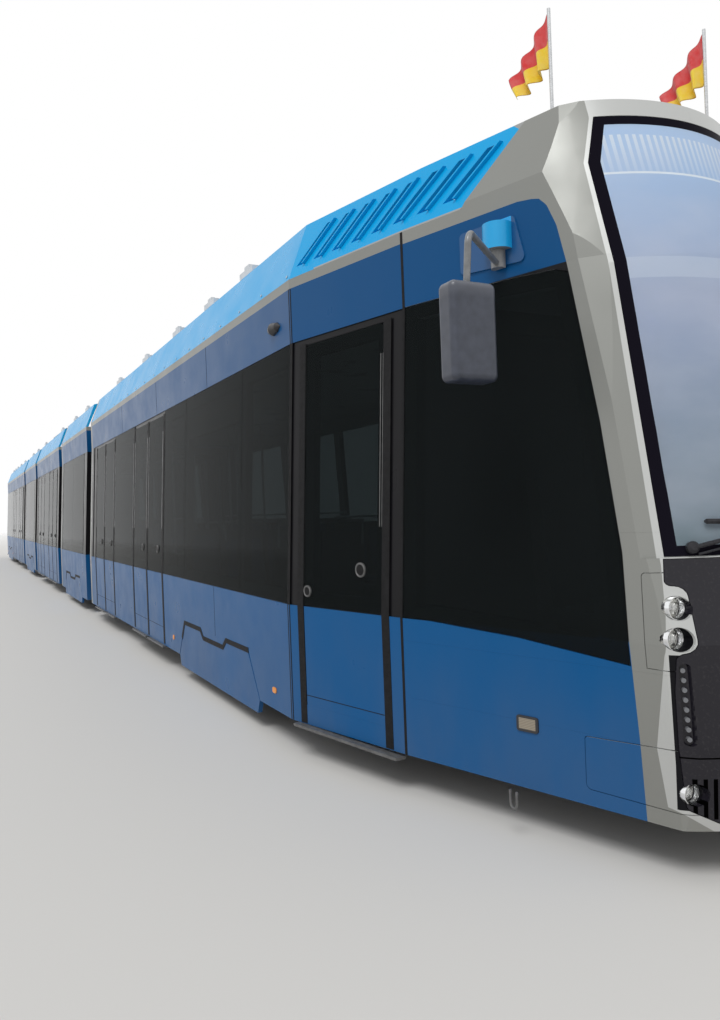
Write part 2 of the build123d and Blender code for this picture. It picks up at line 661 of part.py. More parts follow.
def pedestal_seat(x, side, facing):
    """A bench beside the side wall on a floor pedestal."""
    bench = seat_bench(x, side, floor_z + 380, facing, 640.0, 460.0)
    foot = block(*sorted((x + facing * 60, x + facing * 330)), *sorted((side * 500, side * 1060)),
                 floor_z + seat_gap, floor_z + 380 + seat_gap)
    return bench + foot


# Seats of a head section: x, side, facing; on the wheel wells and beside the left wall
WELL_SEATS = [(-2650.0, 1), (-1650.0, -1), (-1500.0, 1), (-520.0, -1)]
LEFT_SEATS = [(-3600.0, 1), (-4500.0, 1), (-5400.0, 1), (-6300.0, 1)]
HEAD_POLES = [(-3120.0, -430.0), (-4700.0, -430.0), (-5690.0, -430.0), (-7250.0, -430.0),
              (-3120.0, 430.0), (-4700.0, 430.0), (-6000.0, 430.0), (-120.0, -430.0), (-120.0, 430.0)]


def head_seats():
    made = [seat_bench(x, side, podium_top, facing)
            for x, facing in WELL_SEATS for side in (-1, 1)]
    made += [pedestal_seat(x, 1, facing) for x, facing in LEFT_SEATS]
    return made + [pole(x, y, floor_z) for x, y in HEAD_POLES]


# Boxes on a head section's roof: rear x, front x, half width, top
ROOF_BOXES = [(-6900.0, -4900.0, 780.0, 3120.0), (-4600.0, -3300.0, 700.0, 3080.0),
              (-2900.0, -600.0, 820.0, 3240.0)]


rib_pitch = 240.0
rib_w, rib_t = 12.0, 8.0
fan_r, fan_t = 230.0, 40.0
FANS = [(-2450.0, 0.0), (-1750.0, 0.0), (-1050.0, 0.0)]


def roof_boxes():
    """Equipment boxes with ribbed lids, and three fans sunk into the front one."""
    made = []
    for x0, x1, half, top in ROOF_BOXES:
        low = gutter_z + seat_gap
        body = along_x([(-half, low), (half, low), (half, top - 60), (half - 90, top), (90 - half, top),
                        (-half, top - 60)], x0, x1)
        ribs = int((x1 - x0) / rib_pitch)
        body -= [block(x0 + i * rib_pitch, x0 + i * rib_pitch + rib_w, 90 - half, half - 90, top - rib_t, top + 1)
                 for i in range(1, ribs)]
        for x, y in FANS:
            if x0 < x < x1:
                body -= Pos(x, y, top) * Cylinder(fan_r, 2 * fan_t)
                body += Pos(x, y, top - fan_t / 2 - 10) * Cylinder(fan_r * 0.3, fan_t - 10)
                body += [Pos(x, y, top - fan_t + 8) * Rot(0, 0, turn) * Box(2 * fan_r + 4, 40, 20)
                         for turn in (15, 75, 135)]
        made.append(body)
    return made


# Flags on the cab's roof: x, y, height of the pole
FLAG_POLES = [(1700.0, -535.0, 460.0), (1895.0, 235.0, 450.0)]
flag_pole_r = 8.0
flag_drop = 345.0          # height of the cloth
flag_steps = 9
flag_step = 25.0
flag_wave = 14.0
flag_t = 4.0


def flags():
    """Two poles on the cap and the cloth on each, hanging in waves."""
    poles, cloths = [], []
    for x, y, height in FLAG_POLES:
        foot, top = cap_top_z + seat_gap, cap_top_z + height
        poles.append(rod((x, y, foot), (x, y, top), flag_pole_r))
        edge = [(x - flag_pole_r - seat_gap - flag_step * i, y + flag_wave * sin(1.1 * i)) for i in range(flag_steps)]
        cloths.append(along_z(edge + [(u, v - flag_t) for u, v in reversed(edge)], top - 15 - flag_drop, top - 15))
    return poles, cloths


def section_head():
    """The front section, measured from the kink: a dict of node name to solids."""
    rear = -head_length
    wall_rear = rear + portal_depth + seat_gap
    nose, cab_glass, mask = nose_parts()
    shell = portal(rear, rear + portal_depth)
    shell.append(side_wall(-1, wall_rear, 0, HEAD_WINDOWS, HEAD_DOORWAYS, [bogie_head_x]))
    shell.append(side_wall(1, wall_rear, 0, HEAD_WINDOWS_LEFT, [], [bogie_head_x]))
    shell.append(side_wall(-1, seat_gap, module_length, [], [CAB_LEAF], (), taper))
    shell.append(side_wall(1, seat_gap, module_length, [(0, module_length)], [], (), taper))
    shell += bogie_covers(bogie_head_x)
    glass = panes(-1, HEAD_WINDOWS) + panes(1, HEAD_WINDOWS_LEFT) + panes(1, [(2, module_length)], taper) + cab_glass
    leaves = []
    for x0, x1, slope in [(a, b, 0.0) for a, b in HEAD_LEAVES] + [(*CAB_LEAF, taper)]:
        frame, leaf_glass = door_leaf(-1, x0, x1, slope)
        leaves.append(frame)
        glass.append(leaf_glass)

    def plan(rear_x, front_x, inset):
        flank = half_width - wall - inset
        module_end = module_end_half - wall / cab_cos - inset
        side = [(rear_x, flank), (0, flank)]
        if front_x > module_length:
            side += [(module_length, module_end), (front_x, module_end - (front_x - module_length) * cab_tan)]
        else:
            side.append((front_x, flank + (module_end - flank) * front_x / module_length))
        return both_sides(side)

    floor = floor_parts(plan(rear + threshold_depth + seat_gap, tow_root, seat_gap), [bogie_head_x],
                        [(rear - gap_length / 2, -1, -1, threshold_depth)])
    floor.append(tow_bar())
    lean = half_width - skin(gutter_z)
    roof_plan = [(x, y - lean if y > 0 else y + lean) 
                 for x, y in plan(rear + portal_depth + seam, module_length - seam, seat_gap)]
    roof = [along_z(roof_plan, ceiling_z, gutter_z)]
    roof += [louvred(side) for side in (-1, 1)]
    return {"shell": shell, "floor": floor, "roof": roof, "glazing": glass, "doors": leaves,
            "nose": nose, "mask": [mask], "lamps": lamps(), "seats": head_seats(),
            "roof_gear": roof_boxes()}


# Tow eye under the nose
tow_root = 2150.0          # front edge of the floor, where the tow bar starts
tow_x = 2340.0
tow_z = 215.0
tow_t = 40.0
tow_half = 70.0
tow_r = 20.0


def tow_bar():
    bar = block(tow_root + seat_gap, tow_x, -tow_half, tow_half, tow_z, tow_z + tow_t)
    bar += Pos(tow_x, 0, tow_z + tow_t / 2) * Cylinder(tow_half, tow_t)
    return bar - Pos(tow_x, 0, tow_z + tow_t / 2) * Cylinder(tow_r, 2 * tow_t)


HEAD_DOORWAYS = [(HEAD_LEAVES[1][0], HEAD_LEAVES[0][1]), (HEAD_LEAVES[3][0], HEAD_LEAVES[2][1])]

# Middle section: door leaves near both ends, one wide window between
MIDDLE_LEAVES = [(500.0, 1190.0), (1190.0, 1880.0), (-1190.0, -500.0), (-1880.0, -1190.0)]
MIDDLE_DOORWAYS = [(500.0, 1880.0), (-1880.0, -500.0)]
MIDDLE_WINDOWS = [(-480.0, 480.0)]


def section_between(length, windows, windows_left, leaves, doorways, bogies, kind, seats):
    """A section with a portal at each end, measured from its middle."""
    half = length / 2
    inside = half - portal_depth - seat_gap
    shell = portal(half - portal_depth, half) + portal(-half, portal_depth - half)
    shell.append(side_wall(-1, -inside, inside, windows, doorways, bogies))
    shell.append(side_wall(1, -inside, inside, windows_left, [], bogies))
    for x in bogies:
        shell += bogie_covers(x)
    glass = panes(-1, windows) + panes(1, windows_left)
    frames = []
    for x0, x1 in leaves:
        frame, leaf_glass = door_leaf(-1, x0, x1)
        frames.append(frame)
        glass.append(leaf_glass)
    depth = half - well_half - well_wall - seat_gap if bogies else threshold_depth
    slab_half = half - depth - seat_gap
    outline = [] if bogies else both_sides([(-slab_half, inner_half), (slab_half, inner_half)])
    pivot_x = half + gap_length / 2
    floor = floor_parts(outline, bogies, [(pivot_x, 1, kind, depth), (-pivot_x, -1, kind, depth)])
    top = skin(gutter_z) - wall - seat_gap
    roof = [block(-inside + seam, inside - seam, -top, top, ceiling_z, gutter_z)]
    roof += [along_x(fairing_points(s), -half, half) for s in (-1, 1)]
    nodes = {"shell": shell, "floor": floor, "roof": roof, "glazing": glass, "seats": seats}
    if frames:
        nodes["doors"] = frames
    return nodes


def section_short():
    seats = [seat_bench(x, side, podium_top, facing) for x, facing in ((-1150.0, 1), (1150.0, -1))
             for side in (-1, 1)]
    reach = short_length / 2 - portal_depth - frame_strip
    windows = [(-reach, 0.0), (0.0, reach)]
    return section_between(short_length, windows, windows, [], [], [0.0], 1, seats)


def section_middle():
    seats = [pedestal_seat(x, 1, facing) for x, facing in ((-1600.0, 1), (-450.0, 1), (700.0, 1))]
    seats += [pole(x, y, floor_z) for x, y in ((-420.0, -430.0), (420.0, -430.0), (-1750.0, 430.0), (1750.0, 430.0))]
    reach = middle_length / 2 - portal_depth - frame_strip
    windows_left = [(-reach, -reach / 3), (-reach / 3, reach / 3), (reach / 3, reach)]
    return section_between(middle_length, MIDDLE_WINDOWS, windows_left,
                           MIDDLE_LEAVES, MIDDLE_DOORWAYS, [], -1, seats)


def bellows(x):
    """The bellows between two portals: an arch round the gangway, open below for the pivot."""
    outer, inner = 1085.0, turntable_r + 40.0
    points = [(-outer, 250), (-inner, 250), (-inner, 2300), (inner, 2300), (inner, 250), (outer, 250),
              (outer - 82, glass_top_z), (outer - 82, 2780), (-outer + 82, 2780), (-outer + 82, glass_top_z)]
    half = gap_length / 2 - seat_gap
    return along_x(points, x - half, x + half)


# Running gear, measured from the bogie's centre

beam_y = 570.0
beam_half = 50.0
beam_reach = 1040.0
wheel_inner = 680.0


def wheelset():
    rim = wheel_inner + wheel_tread
    half = [(0, 0), (0, axle_r), (wheel_inner - 25, axle_r), (wheel_inner - 25, 105), (wheel_inner + 28, 105),
            (wheel_inner + 36, wheel_r - 60), (wheel_inner, wheel_r - 52), (wheel_inner, wheel_r + flange_depth - 8),
            (wheel_inner + 8, wheel_r + flange_depth), (wheel_inner + 18, wheel_r + flange_depth - 5),
            (wheel_inner + 28, wheel_r + 3), (rim, wheel_r - 2), (rim, wheel_r - 52), (wheel_inner + 62, wheel_r - 60),
            (wheel_inner + 54, 105), (wheel_inner + 90, 100), (wheel_inner + 90, 0)]
    made = revolve(make_face(Polyline(*half, close=True)), Axis.X)
    made += mirror(made, about=Plane.YZ)
    return Pos(0, 0, wheel_r) * Rot(0, 0, 90) * made


def bogie_frame():
    """Inboard frame: two arched beams, a cross beam with motors, axle boxes, springs and track brakes."""
    axle_x = wheelbase / 2
    outline = [(-beam_reach, 250), (-beam_reach, 370), (-beam_reach + 60, 400), (beam_reach - 60, 400),
               (beam_reach, 370), (beam_reach, 250), (axle_x + 110, 200), (axle_x - 110, 200),
               (axle_x - 150, 290), (axle_x - 260, 240), (260 - axle_x, 240), (150 - axle_x, 290),
               (110 - axle_x, 200), (-axle_x - 110, 200)]
    body = block(-190, 190, -beam_y, beam_y, 230, 385)
    for side in (-1, 1):
        y0, y1 = sorted((side * (beam_y - beam_half), side * (beam_y + beam_half)))
        body += along_y(outline, y0, y1)
        for x in (-300.0, 300.0):
            body += Pos(x, side * beam_y, 527) * Cylinder(75, 265.4)
            brake_y0, brake_y1 = sorted((side * (beam_y + beam_half - 1), side * 735.0))
            body += block(x - 15, x + 15, brake_y0, brake_y1, 250, 290)
            body += block(x - 15, x + 15, *sorted((side * 705.0, side * 735.0)), 90, 290)
        body += block(-400, 400, *sorted((side * 690.0, side * 770.0)), 14, 100)
    for x in (-axle_x, axle_x):
        body += block(*sorted((math_sign(x) * 150, math_sign(x) * (axle_x - 90))), -260, 260, 200, 375)
        body -= Pos(x, 0, wheel_r) * Rot(90, 0, 0) * Cylinder(axle_r + bearing_gap, 1280)
    body -= Pos(0, 0, 300) * Cylinder(centre_pin_r + bearing_gap, 400)
    return body


def math_sign(value):
    return 1 if value > 0 else -1


# Pantograph on the middle section: a single arm, lowered

panto_foot = 3010.0
panto_arm = 1500.0
panto_tilt = 6.0           # angle of both arms when lowered


def pantograph():
    knee = (-panto_arm * cos(radians(panto_tilt)), panto_foot + panto_arm * sin(radians(panto_tilt)))
    head_z = panto_foot + 2 * panto_arm * sin(radians(panto_tilt))
    base = [block(-700, 760, y - 40, y + 40, 2910, 2950) for y in (-400.0, 400.0)]
    frame = base[0] + base[1]
    for x in (-680.0, 0.0, 740.0):
        frame += block(x - 30, x + 30, -440, 440, 2910, 2950)
    for y in (-140.0, 140.0):
        frame += block(-40, 40, y - 15, y + 15, 2945, panto_foot + 45)
    frame += Pos(0, 0, panto_foot) * Rot(90, 0, 0) * Cylinder(20, 330)
    height = 2910 - gutter_z - 2 * seat_gap
    sheds = [(0, 0), (45, 0), (45, 8)]
    for i in range(3):
        sheds += [(26, 12 + 20 * i), (26, 22 + 20 * i), (45, 26 + 20 * i), (45, 28 + 20 * i)]
    sheds += [(30, height), (0, height)]
    insulator = revolve(Plane.XZ * make_face(Polyline(*sheds, close=True)), Axis.Z)
    feet = [Pos(x, y, gutter_z + seat_gap) * insulator for x in (-680.0, 740.0) for y in (-400.0, 400.0)]
    fork = 360.0
    part = 1 - fork / panto_arm

    def along_arm(share):
        return share * knee[0], panto_foot + share * (knee[1] - panto_foot)

    def at_arm(share, y, shape):
        x, z = along_arm(share)
        return Pos(x, y, z) * Rot(0, panto_tilt, 0) * shape

    end = along_arm(part)
    lower = rod((0, 0, panto_foot), (end[0], 0, end[1]), 40)
    lower += Pos(0, 0, panto_foot) * Rot(90, 0, 0) * Cylinder(48, 230)
    lower += at_arm(part, 0, Box(40, 140, 80))
    for y in (-62.0, 62.0):
        lower += at_arm(1 - fork / panto_arm / 2, y, Box(fork + 60, 16, 70))
    lower += Pos(knee[0], 0, knee[1]) * Rot(90, 0, 0) * Cylinder(18, 140)
    lower -= Pos(0, 0, panto_foot) * Rot(90, 0, 0) * Cylinder(20 + bearing_gap, 400)
    eye = Pos(knee[0], 0, knee[1]) * Rot(90, 0, 0) * Cylinder(40, 96)
    upper = eye + rod((knee[0], 0, knee[1]), (0, 0, head_z), 24)
    upper += Pos(0, 0, head_z) * Rot(90, 0, 0) * Cylinder(22, 860)
    upper -= Pos(knee[0], 0, knee[1]) * Rot(90, 0, 0) * Cylinder(18 + bearing_gap, 400)
    strip_z = head_z + 60
    carrier = block(-190, 190, -420, -396, head_z - 16, strip_z) + block(-190, 190, 396, 420, head_z - 16, strip_z)
    for y in (-408.0, 408.0):
        carrier += Pos(0, y, head_z) * Rot(90, 0, 0) * Cylinder(34, 24)
    carrier -= Pos(0, 0, head_z) * Rot(90, 0, 0) * Cylinder(22 + bearing_gap, 1200)
    for x in (-170.0, 170.0):
        horn = [(-950, strip_z - 160), (-930, strip_z - 160), (-700, strip_z), (700, strip_z), (930, strip_z - 160),
                (950, strip_z - 160), (710, strip_z + 35), (-710, strip_z + 35)]
        carrier += along_x(horn, x - 20, x + 20)
    return {"panto_base": [frame] + feet, "panto_lower": [lower], "panto_upper": [upper], "panto_head": [carrier]}


def write(name, shapes, x=0.0, flip=False):
    """Raise the solids by the flange depth, move them along the train and write one file."""
    moved = []
    for shape in shapes:
        shape = Pos(x, 0, flange_depth) * shape
        if flip:
            shape = mirror(shape, about=Plane.YZ)
        moved += solids_of(shape)
    export_step(Compound(children=moved), f"parts/{name}.step")


os.makedirs("parts", exist_ok=True)

head = section_head()
for node, shapes in head.items():
    write("a_" + node, shapes, kink_x)
    write("e_" + node, shapes, kink_x, flip=True)
write("a_cab", cab_interior(), kink_x)
write("a_mirrors", mirrors(), kink_x)
poles, cloths = flags()
write("a_flag_poles", poles, kink_x)
write("a_flags", cloths, kink_x)

short_x = middle_length / 2 + gap_length + short_length / 2
for node, shapes in section_short().items():
    write("b_" + node, shapes, short_x)
    write("d_" + node, shapes, -short_x)
for node, shapes in section_middle().items():
    write("c_" + node, shapes)

gap_x = (middle_length + gap_length) / 2
far_gap_x = gap_x + gap_length + short_length
for name, x in (("ab", far_gap_x), ("bc", gap_x), ("cd", -gap_x), ("de", -far_gap_x)):
    write("bellows_" + name, [bellows(x)])

frame_solid, wheel_solid = bogie_frame(), wheelset()
head_bogie_x = kink_x + bogie_head_x
for name, x in (("a", head_bogie_x), ("b", short_x), ("d", -short_x), ("e", -head_bogie_x)):
    write("bogie_" + name, [frame_solid], x)
    write(f"wheelset_{name}1", [wheel_solid], x + wheelbase / 2)
    write(f"wheelset_{name}2", [wheel_solid], x - wheelbase / 2)

for node, shapes in pantograph().items():
    write(node, shapes)
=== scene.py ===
"""Looks of a low-floor articulated tram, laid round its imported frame.

Metres. +X is the front, the doors are at -Y, +Z is up. The tram stands straight, with the middle section's
centre over the origin, and both ends have the same form, so many shapes come once for each sign of x.
"""
from math import atan, cos, pi, radians, sin, tan

import bmesh
import bpy
from mathutils import Matrix, Vector


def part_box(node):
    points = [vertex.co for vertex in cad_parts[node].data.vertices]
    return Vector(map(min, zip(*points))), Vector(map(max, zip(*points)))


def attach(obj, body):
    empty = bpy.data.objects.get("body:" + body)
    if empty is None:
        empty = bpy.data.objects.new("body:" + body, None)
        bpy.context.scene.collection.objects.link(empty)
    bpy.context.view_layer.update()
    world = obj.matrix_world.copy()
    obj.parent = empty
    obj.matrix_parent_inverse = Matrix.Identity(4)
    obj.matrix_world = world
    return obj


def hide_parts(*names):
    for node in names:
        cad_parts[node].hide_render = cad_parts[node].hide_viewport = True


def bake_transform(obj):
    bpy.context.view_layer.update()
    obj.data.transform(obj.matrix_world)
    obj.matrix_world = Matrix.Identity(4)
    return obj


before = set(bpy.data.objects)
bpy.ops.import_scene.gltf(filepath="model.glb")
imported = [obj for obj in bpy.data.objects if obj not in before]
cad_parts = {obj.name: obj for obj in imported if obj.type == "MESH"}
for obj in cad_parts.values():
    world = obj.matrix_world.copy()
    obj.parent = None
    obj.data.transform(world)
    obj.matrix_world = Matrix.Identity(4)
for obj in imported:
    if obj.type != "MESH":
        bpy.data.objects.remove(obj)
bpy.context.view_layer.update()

# Heights
flange = 0.025             # the wheels' flanges reach this far below the rail top
skirt = 0.180 + flange
waist = 0.872 + flange
glass_top = 2.446 + flange
silver_strip = 2.775 + flange
gutter = 2.832 + flange
fairing_top = 3.180 + flange
door_top = 2.405 + flange
door_button, door_seam, door_sill = 1.128, 0.377, 0.196
floor_top, ceiling = 0.350 + flange, 2.480 + flange
podium, pedestal = 0.690 + flange, 0.730 + flange  # what the seats stand on
lining_low = 0.33          # below this the sides' inner faces, which show from the track, are black
axle_height = 0.300 + flange
contact = 0.0003           # gap between a seat or pole and the solid that carries it

# Widths and lengths
half_width = 1.200
side_lean = 0.052          # how far the sides lean in, per metre of height beside the windows
kink = 13.900              # where the cab end begins to taper
module_end = kink + 0.956  # seam between the door module and the cab
taper = 0.225 / 0.956
cab_turn = 16.2            # degrees that the cab's sides turn in
head_rear = 6.200          # inner end of a head section
short_centre, short_half = 4.200, 1.550
middle_half = 2.200
end_frame = 0.100          # width of the silver frame at a section's end

# Leaves of the doors, measured from the kink or from the middle section's centre: rear edge, front edge
head_leaves = ((-4.580, -3.889), (-3.889, -3.205), (-7.180, -6.489), (-6.489, -5.795))
middle_leaves = ((0.500, 1.190), (1.190, 1.880), (-1.880, -1.190), (-1.190, -0.500))

# Bogie covers, as the side shows them: half lengths at the skirt and at the top, half length of the notch
bogie_x = -1.600
cover_low, cover_high, cover_notch = 1.036, 0.831, 0.300
cover_z, notch_z = 0.486 + flange, 0.424 + flange

# The front: its bulge turns about front_axis, past the kink, and above the screen's foot it leans back
front_axis = 1.525
screen_foot, screen_rake = 1.225, 12.9

# Lines on the cab as (height, distance): past the kink, the front's reach and the blue side's end,
# and half widths of the pale lip and of the windscreen
front_line = ((0.205, 2.505), (0.525, 2.512), (0.897, 2.487), (screen_foot, 2.425), (2.471, 2.178),
              (3.195, 1.976))
corner_line = ((0.205, 2.179), (0.518, 2.161), (0.801, 2.139), (0.866, 2.134), (1.245, 2.104),
               (1.782, 2.009), (2.427, 1.868), (2.638, 1.818), (2.737, 1.775), (2.782, 1.732), (2.795, 1.632))
lip_line = ((0.2, 0.48), (0.282, 0.596), (0.5, 0.606), (0.86, 0.594), (1.2, 0.560), (2.471, 0.540),
            (2.895, 0.532), (3.11, 0.472), (3.2, 0.472))
screen_line = ((1.2, 0.535), (2.471, 0.520), (2.895, 0.515), (3.11, 0.455), (3.2, 0.455))

# Round lamps on each side of the front: distance across, height, distance past the kink, radius
front_lamps = ((0.540, 1.036, 2.266, 0.0450), (0.552, 0.919, 2.266, 0.0450), (0.540, 0.341, 2.306, 0.0410))

# Cloth of a flag: length along its hem, height along the pole, number of folds, share of its drop
flag_fly, flag_hoist = 0.300, 0.240
flag_folds, flag_drop = 2.8, 0.98

# Paint and surface colours, linear
blue = (0.002, 0.092, 0.270)
# Painted shade: the side's blue, darker above the glass
shaded_upper_blue = (0.002, 0.072, 0.215)
# Painted skylight: blue paint made bright where it faces the sky
skylight_blue = (0.004, 0.360, 0.740)
silver = (0.265, 0.270, 0.255)
# Painted highlight: silver paled along the front's lip
highlight_silver = (0.520, 0.530, 0.520)
gloss_black = (0.006, 0.006, 0.008)
lining = (0.420, 0.430, 0.420)
dust = (0.190, 0.165, 0.130)


class Shader:
    """A node material that is put together in a few calls."""

    def __init__(self, name):
        self.material = bpy.data.materials.new(name)
        self.material.use_nodes = True
        self.tree = self.material.node_tree
        self.surface = self.tree.nodes["Principled BSDF"]
        coordinates = self.tree.nodes.new("ShaderNodeTexCoord")
        self.place = coordinates.outputs["Object"]
        axes = self.add("ShaderNodeSeparateXYZ", {0: self.place})
        self.x, self.y, self.z = axes.outputs
        self.along = self.math("ABSOLUTE", self.x)
        self.across = self.math("ABSOLUTE", self.y)
        self.past = self.minus(self.along, kink)
        normal = self.add("ShaderNodeSeparateXYZ", {0: coordinates.outputs["Normal"]})
        self.normal_x, self.normal_y = normal.outputs[:2]

    def add(self, kind, inputs=(), **settings):
        node = self.tree.nodes.new(kind)
        for name, value in settings.items():
            setattr(node, name, value)
        for key, value in dict(inputs).items():
            self.put(node.inputs[key], value)
        return node

    def put(self, socket, value):
        if isinstance(value, bpy.types.NodeSocket):
            self.tree.links.new(value, socket)
        elif isinstance(value, tuple) and len(value) == 3 and socket.type == "RGBA":
            socket.default_value = (*value, 1.0)
        else:
            socket.default_value = value

    def math(self, operation, first, second=0.0):
        return self.add("ShaderNodeMath", {0: first, 1: second}, operation=operation).outputs[0]

    def over(self, value, edge):
        return self.math("GREATER_THAN", value, edge)

    def under(self, value, edge):
        return self.math("LESS_THAN", value, edge)

    def within(self, value, low, high):
        return self.both(self.over(value, low), self.under(value, high))

    def both(self, first, second):
        return self.math("MULTIPLY", first, second)

    def either(self, first, second):
        return self.math("MAXIMUM", first, second)

    def minus(self, first, second):
        return self.math("SUBTRACT", first, second)

    def inverse(self, value):
        return self.minus(1.0, value)

    def length(self, first, second):
        return self.math("SQRT", self.math("ADD", self.both(first, first), self.both(second, second)))

    def wave(self, operation, value, pitch):
        return self.math(operation, self.both(value, 2 * pi / pitch))

    def inner(self, normal, place):
        """1 where a face looks towards the tram's middle along one axis."""
        return self.under(self.both(normal, place), -0.05)

    def mix(self, factor, first, second):
        node = self.add("ShaderNodeMix", {0: factor, 6: first, 7: second}, data_type="RGBA")
        return node.outputs[2]

    def spread(self, value, low, high, first, second):
        inputs = {"Value": value, "From Min": low, "From Max": high, "To Min": first, "To Max": second}
        return self.add("ShaderNodeMapRange", inputs).outputs[0]

    def noise(self, scale, detail=3.0, stretch=(1.0, 1.0, 1.0)):
        mapped = self.add("ShaderNodeMapping", {"Vector": self.place, "Scale": stretch})
        inputs = {"Vector": mapped.outputs[0], "Scale": scale, "Detail": detail}
        return self.add("ShaderNodeTexNoise", inputs).outputs[0]

    def patches(self, scale, detail, first, second, low=0.3, high=0.7):
        """Noise that runs from one value to another."""
        return self.spread(self.noise(scale, detail), low, high, first, second)

    def curve(self, value, low, high, points, most=1.0):
        """A graph of straight lines through (value, result) points, from low to high and up to most."""
        share = self.spread(value, low, high, 0.0, 1.0)
        node = self.add("ShaderNodeFloatCurve", {"Value": share})
        line = node.mapping.curves[0]
        placed = [((at - low) / (high - low), result / most) for at, result in points]
        line.points[0].location = placed[0]
        line.points[1].location = placed[-1]
        for point in placed[1:-1]:
            line.points.new(*point)
        for point in line.points:
            point.handle_type = "VECTOR"
        node.mapping.update()
        return self.both(node.outputs[0], most)

    def bump(self, height, strength, distance):
        node = self.add("ShaderNodeBump", {"Height": height, "Strength": strength, "Distance": distance})
        self.put(self.surface.inputs["Normal"], node.outputs[0])

    def set(self, **values):
        for name, value in values.items():
            self.put(self.surface.inputs[name.replace("_", " ")], value)
        return self


def grime(shader, colour):
    """Road dust that thins out from the skirt upwards, with streaks."""
    streaks = shader.noise(3.0, 6.0, (1.0, 1.0, 0.35))
    low = shader.spread(shader.z, skirt, waist, 0.20, 0.02)
    share = shader.both(low, shader.spread(streaks, 0.35, 0.75, 0.1, 1.0))
    return shader.mix(share, colour, dust)


def end_frames(shader):
    """1 on the silver frames at the sections' ends, as they show in the row of sections."""
    return shader.either(*(shader.within(shader.along, low, low + end_frame)
                           for low in (head_rear, short_centre - short_half)))


def side_livery(shader):
    """Blue below the waist and above the glass, darker there as painted shade, black between, silver under
    the gutter and at the ends.
    """
    colour = shader.mix(shader.over(shader.z, waist), blue, gloss_black)
    colour = shader.mix(shader.over(shader.z, glass_top), colour, shaded_upper_blue)
    colour = shader.mix(shader.over(shader.z, silver_strip), colour, silver)
    colour = shader.mix(end_frames(shader), colour, silver)
    colour = grime(shader, colour)
    inside = shader.mix(shader.under(shader.z, lining_low), lining, gloss_black)
    return shader.mix(shader.inner(shader.normal_y, shader.y), colour, inside)


def paint_finish(shader, base=0.32):
    """Clear-coated paint with a faint ripple, as sheet metal has."""
    ripple, fine = shader.noise(1.6, 2.0), shader.noise(220.0, 2.0)
    shader.bump(shader.math("ADD", ripple, shader.both(fine, 0.004)), 0.25, 0.010)
    shader.set(Roughness=shader.patches(4.0, 5.0, base - 0.05, base + 0.08))
    return shader.set(Specular_IOR_Level=0.12, Coat_Weight=0.15, Coat_Roughness=0.04, Coat_IOR=1.30)


def shell_material():
    shader = Shader("shell_livery")
    shader.set(Base_Color=side_livery(shader))
    return paint_finish(shader).material


def nose_material():
    """Blue side panels up to a slanting line, silver on the corner, the front and the roof cap."""
    shader = Shader("nose_livery")
    low, high = 0.2, 2.8
    edge = shader.curve(shader.z, low, high, corner_line, 3.0)
    is_blue = shader.both(shader.under(shader.past, edge), shader.under(shader.z, corner_line[-1][0]))
    # Above the glass the blue is darker: painted shade
    panel = shader.mix(shader.over(shader.z, glass_top - 0.1), blue, shaded_upper_blue)
    panel = shader.mix(shader.within(shader.z, waist, glass_top), panel, gloss_black)
    # The lip round the screen, lamps and mask is silver paled by a painted highlight
    lip = shader.under(shader.across, shader.curve(shader.z, low, 3.2, lip_line))
    lip = shader.both(lip, shader.over(shader.past, front_axis))
    colour = shader.mix(is_blue, shader.mix(lip, silver, highlight_silver), panel)
    colour = grime(shader, colour)
    # Black beside the mask, and black as painted shade wherever the mask's seat shows through its slots
    beside = shader.both(shader.within(shader.across, 0.560, 0.586), shader.within(shader.z, 0.282, 0.862))
    out = shader.minus(shader.past, front_axis)
    full = [(z, x - front_axis) for z, x in front_line if z <= screen_foot]
    full = shader.curve(shader.z, low, high, full + [(high, full[-1][1])])
    sunk = shader.over(shader.minus(full, shader.length(out, shader.y)), 0.010)
    seat = shader.both(shader.both(sunk, shader.under(shader.across, 0.568)), shader.under(shader.z, 1.220))
    black = shader.both(shader.either(seat, beside), shader.over(out, 0.0))
    colour = shader.mix(black, colour, gloss_black)
    inside = shader.either(shader.inner(shader.normal_y, shader.y), shader.inner(shader.normal_x, shader.x))
    shader.set(Base_Color=shader.mix(inside, colour, lining))
    shader.set(Metallic=shader.both(shader.inverse(is_blue), 0.35))
    return paint_finish(shader, 0.36).material


def roof_material():
    """Blue fairings brightened with painted skylight, silver at the sections' ends, grey roof sheets between,
    white ceiling.
    """
    shader = Shader("roof_livery")
    outer = shader.either(shader.over(shader.z, gutter + 0.01), shader.over(shader.across, 1.06))
    fairing = shader.both(shader.over(shader.z, gutter - 0.02), shader.over(shader.across, 0.60))
    fairing = shader.both(fairing, outer)
    sheet = shader.mix(shader.noise(6.0, 5.0), (0.30, 0.31, 0.31), (0.38, 0.39, 0.39))
    # The fairings' bright blue is painted skylight on blue paint
    colour = shader.mix(fairing, sheet, skylight_blue)
    colour = shader.mix(shader.both(end_frames(shader), fairing), colour, silver)
    shader.set(Base_Color=shader.mix(shader.under(shader.z, ceiling + 0.015), colour, lining))
    return paint_finish(shader, 0.30).material


def door_material():
    """Blue lower panel, black rubber-edged frame, grey inside."""
    shader = Shader("door_livery")
    colour = shader.mix(shader.over(shader.z, waist), blue, gloss_black)
    colour = grime(shader, colour)
    shader.set(Base_Color=shader.mix(shader.inner(shader.normal_y, shader.y), colour, (0.10, 0.10, 0.11)))
    return paint_finish(shader).material


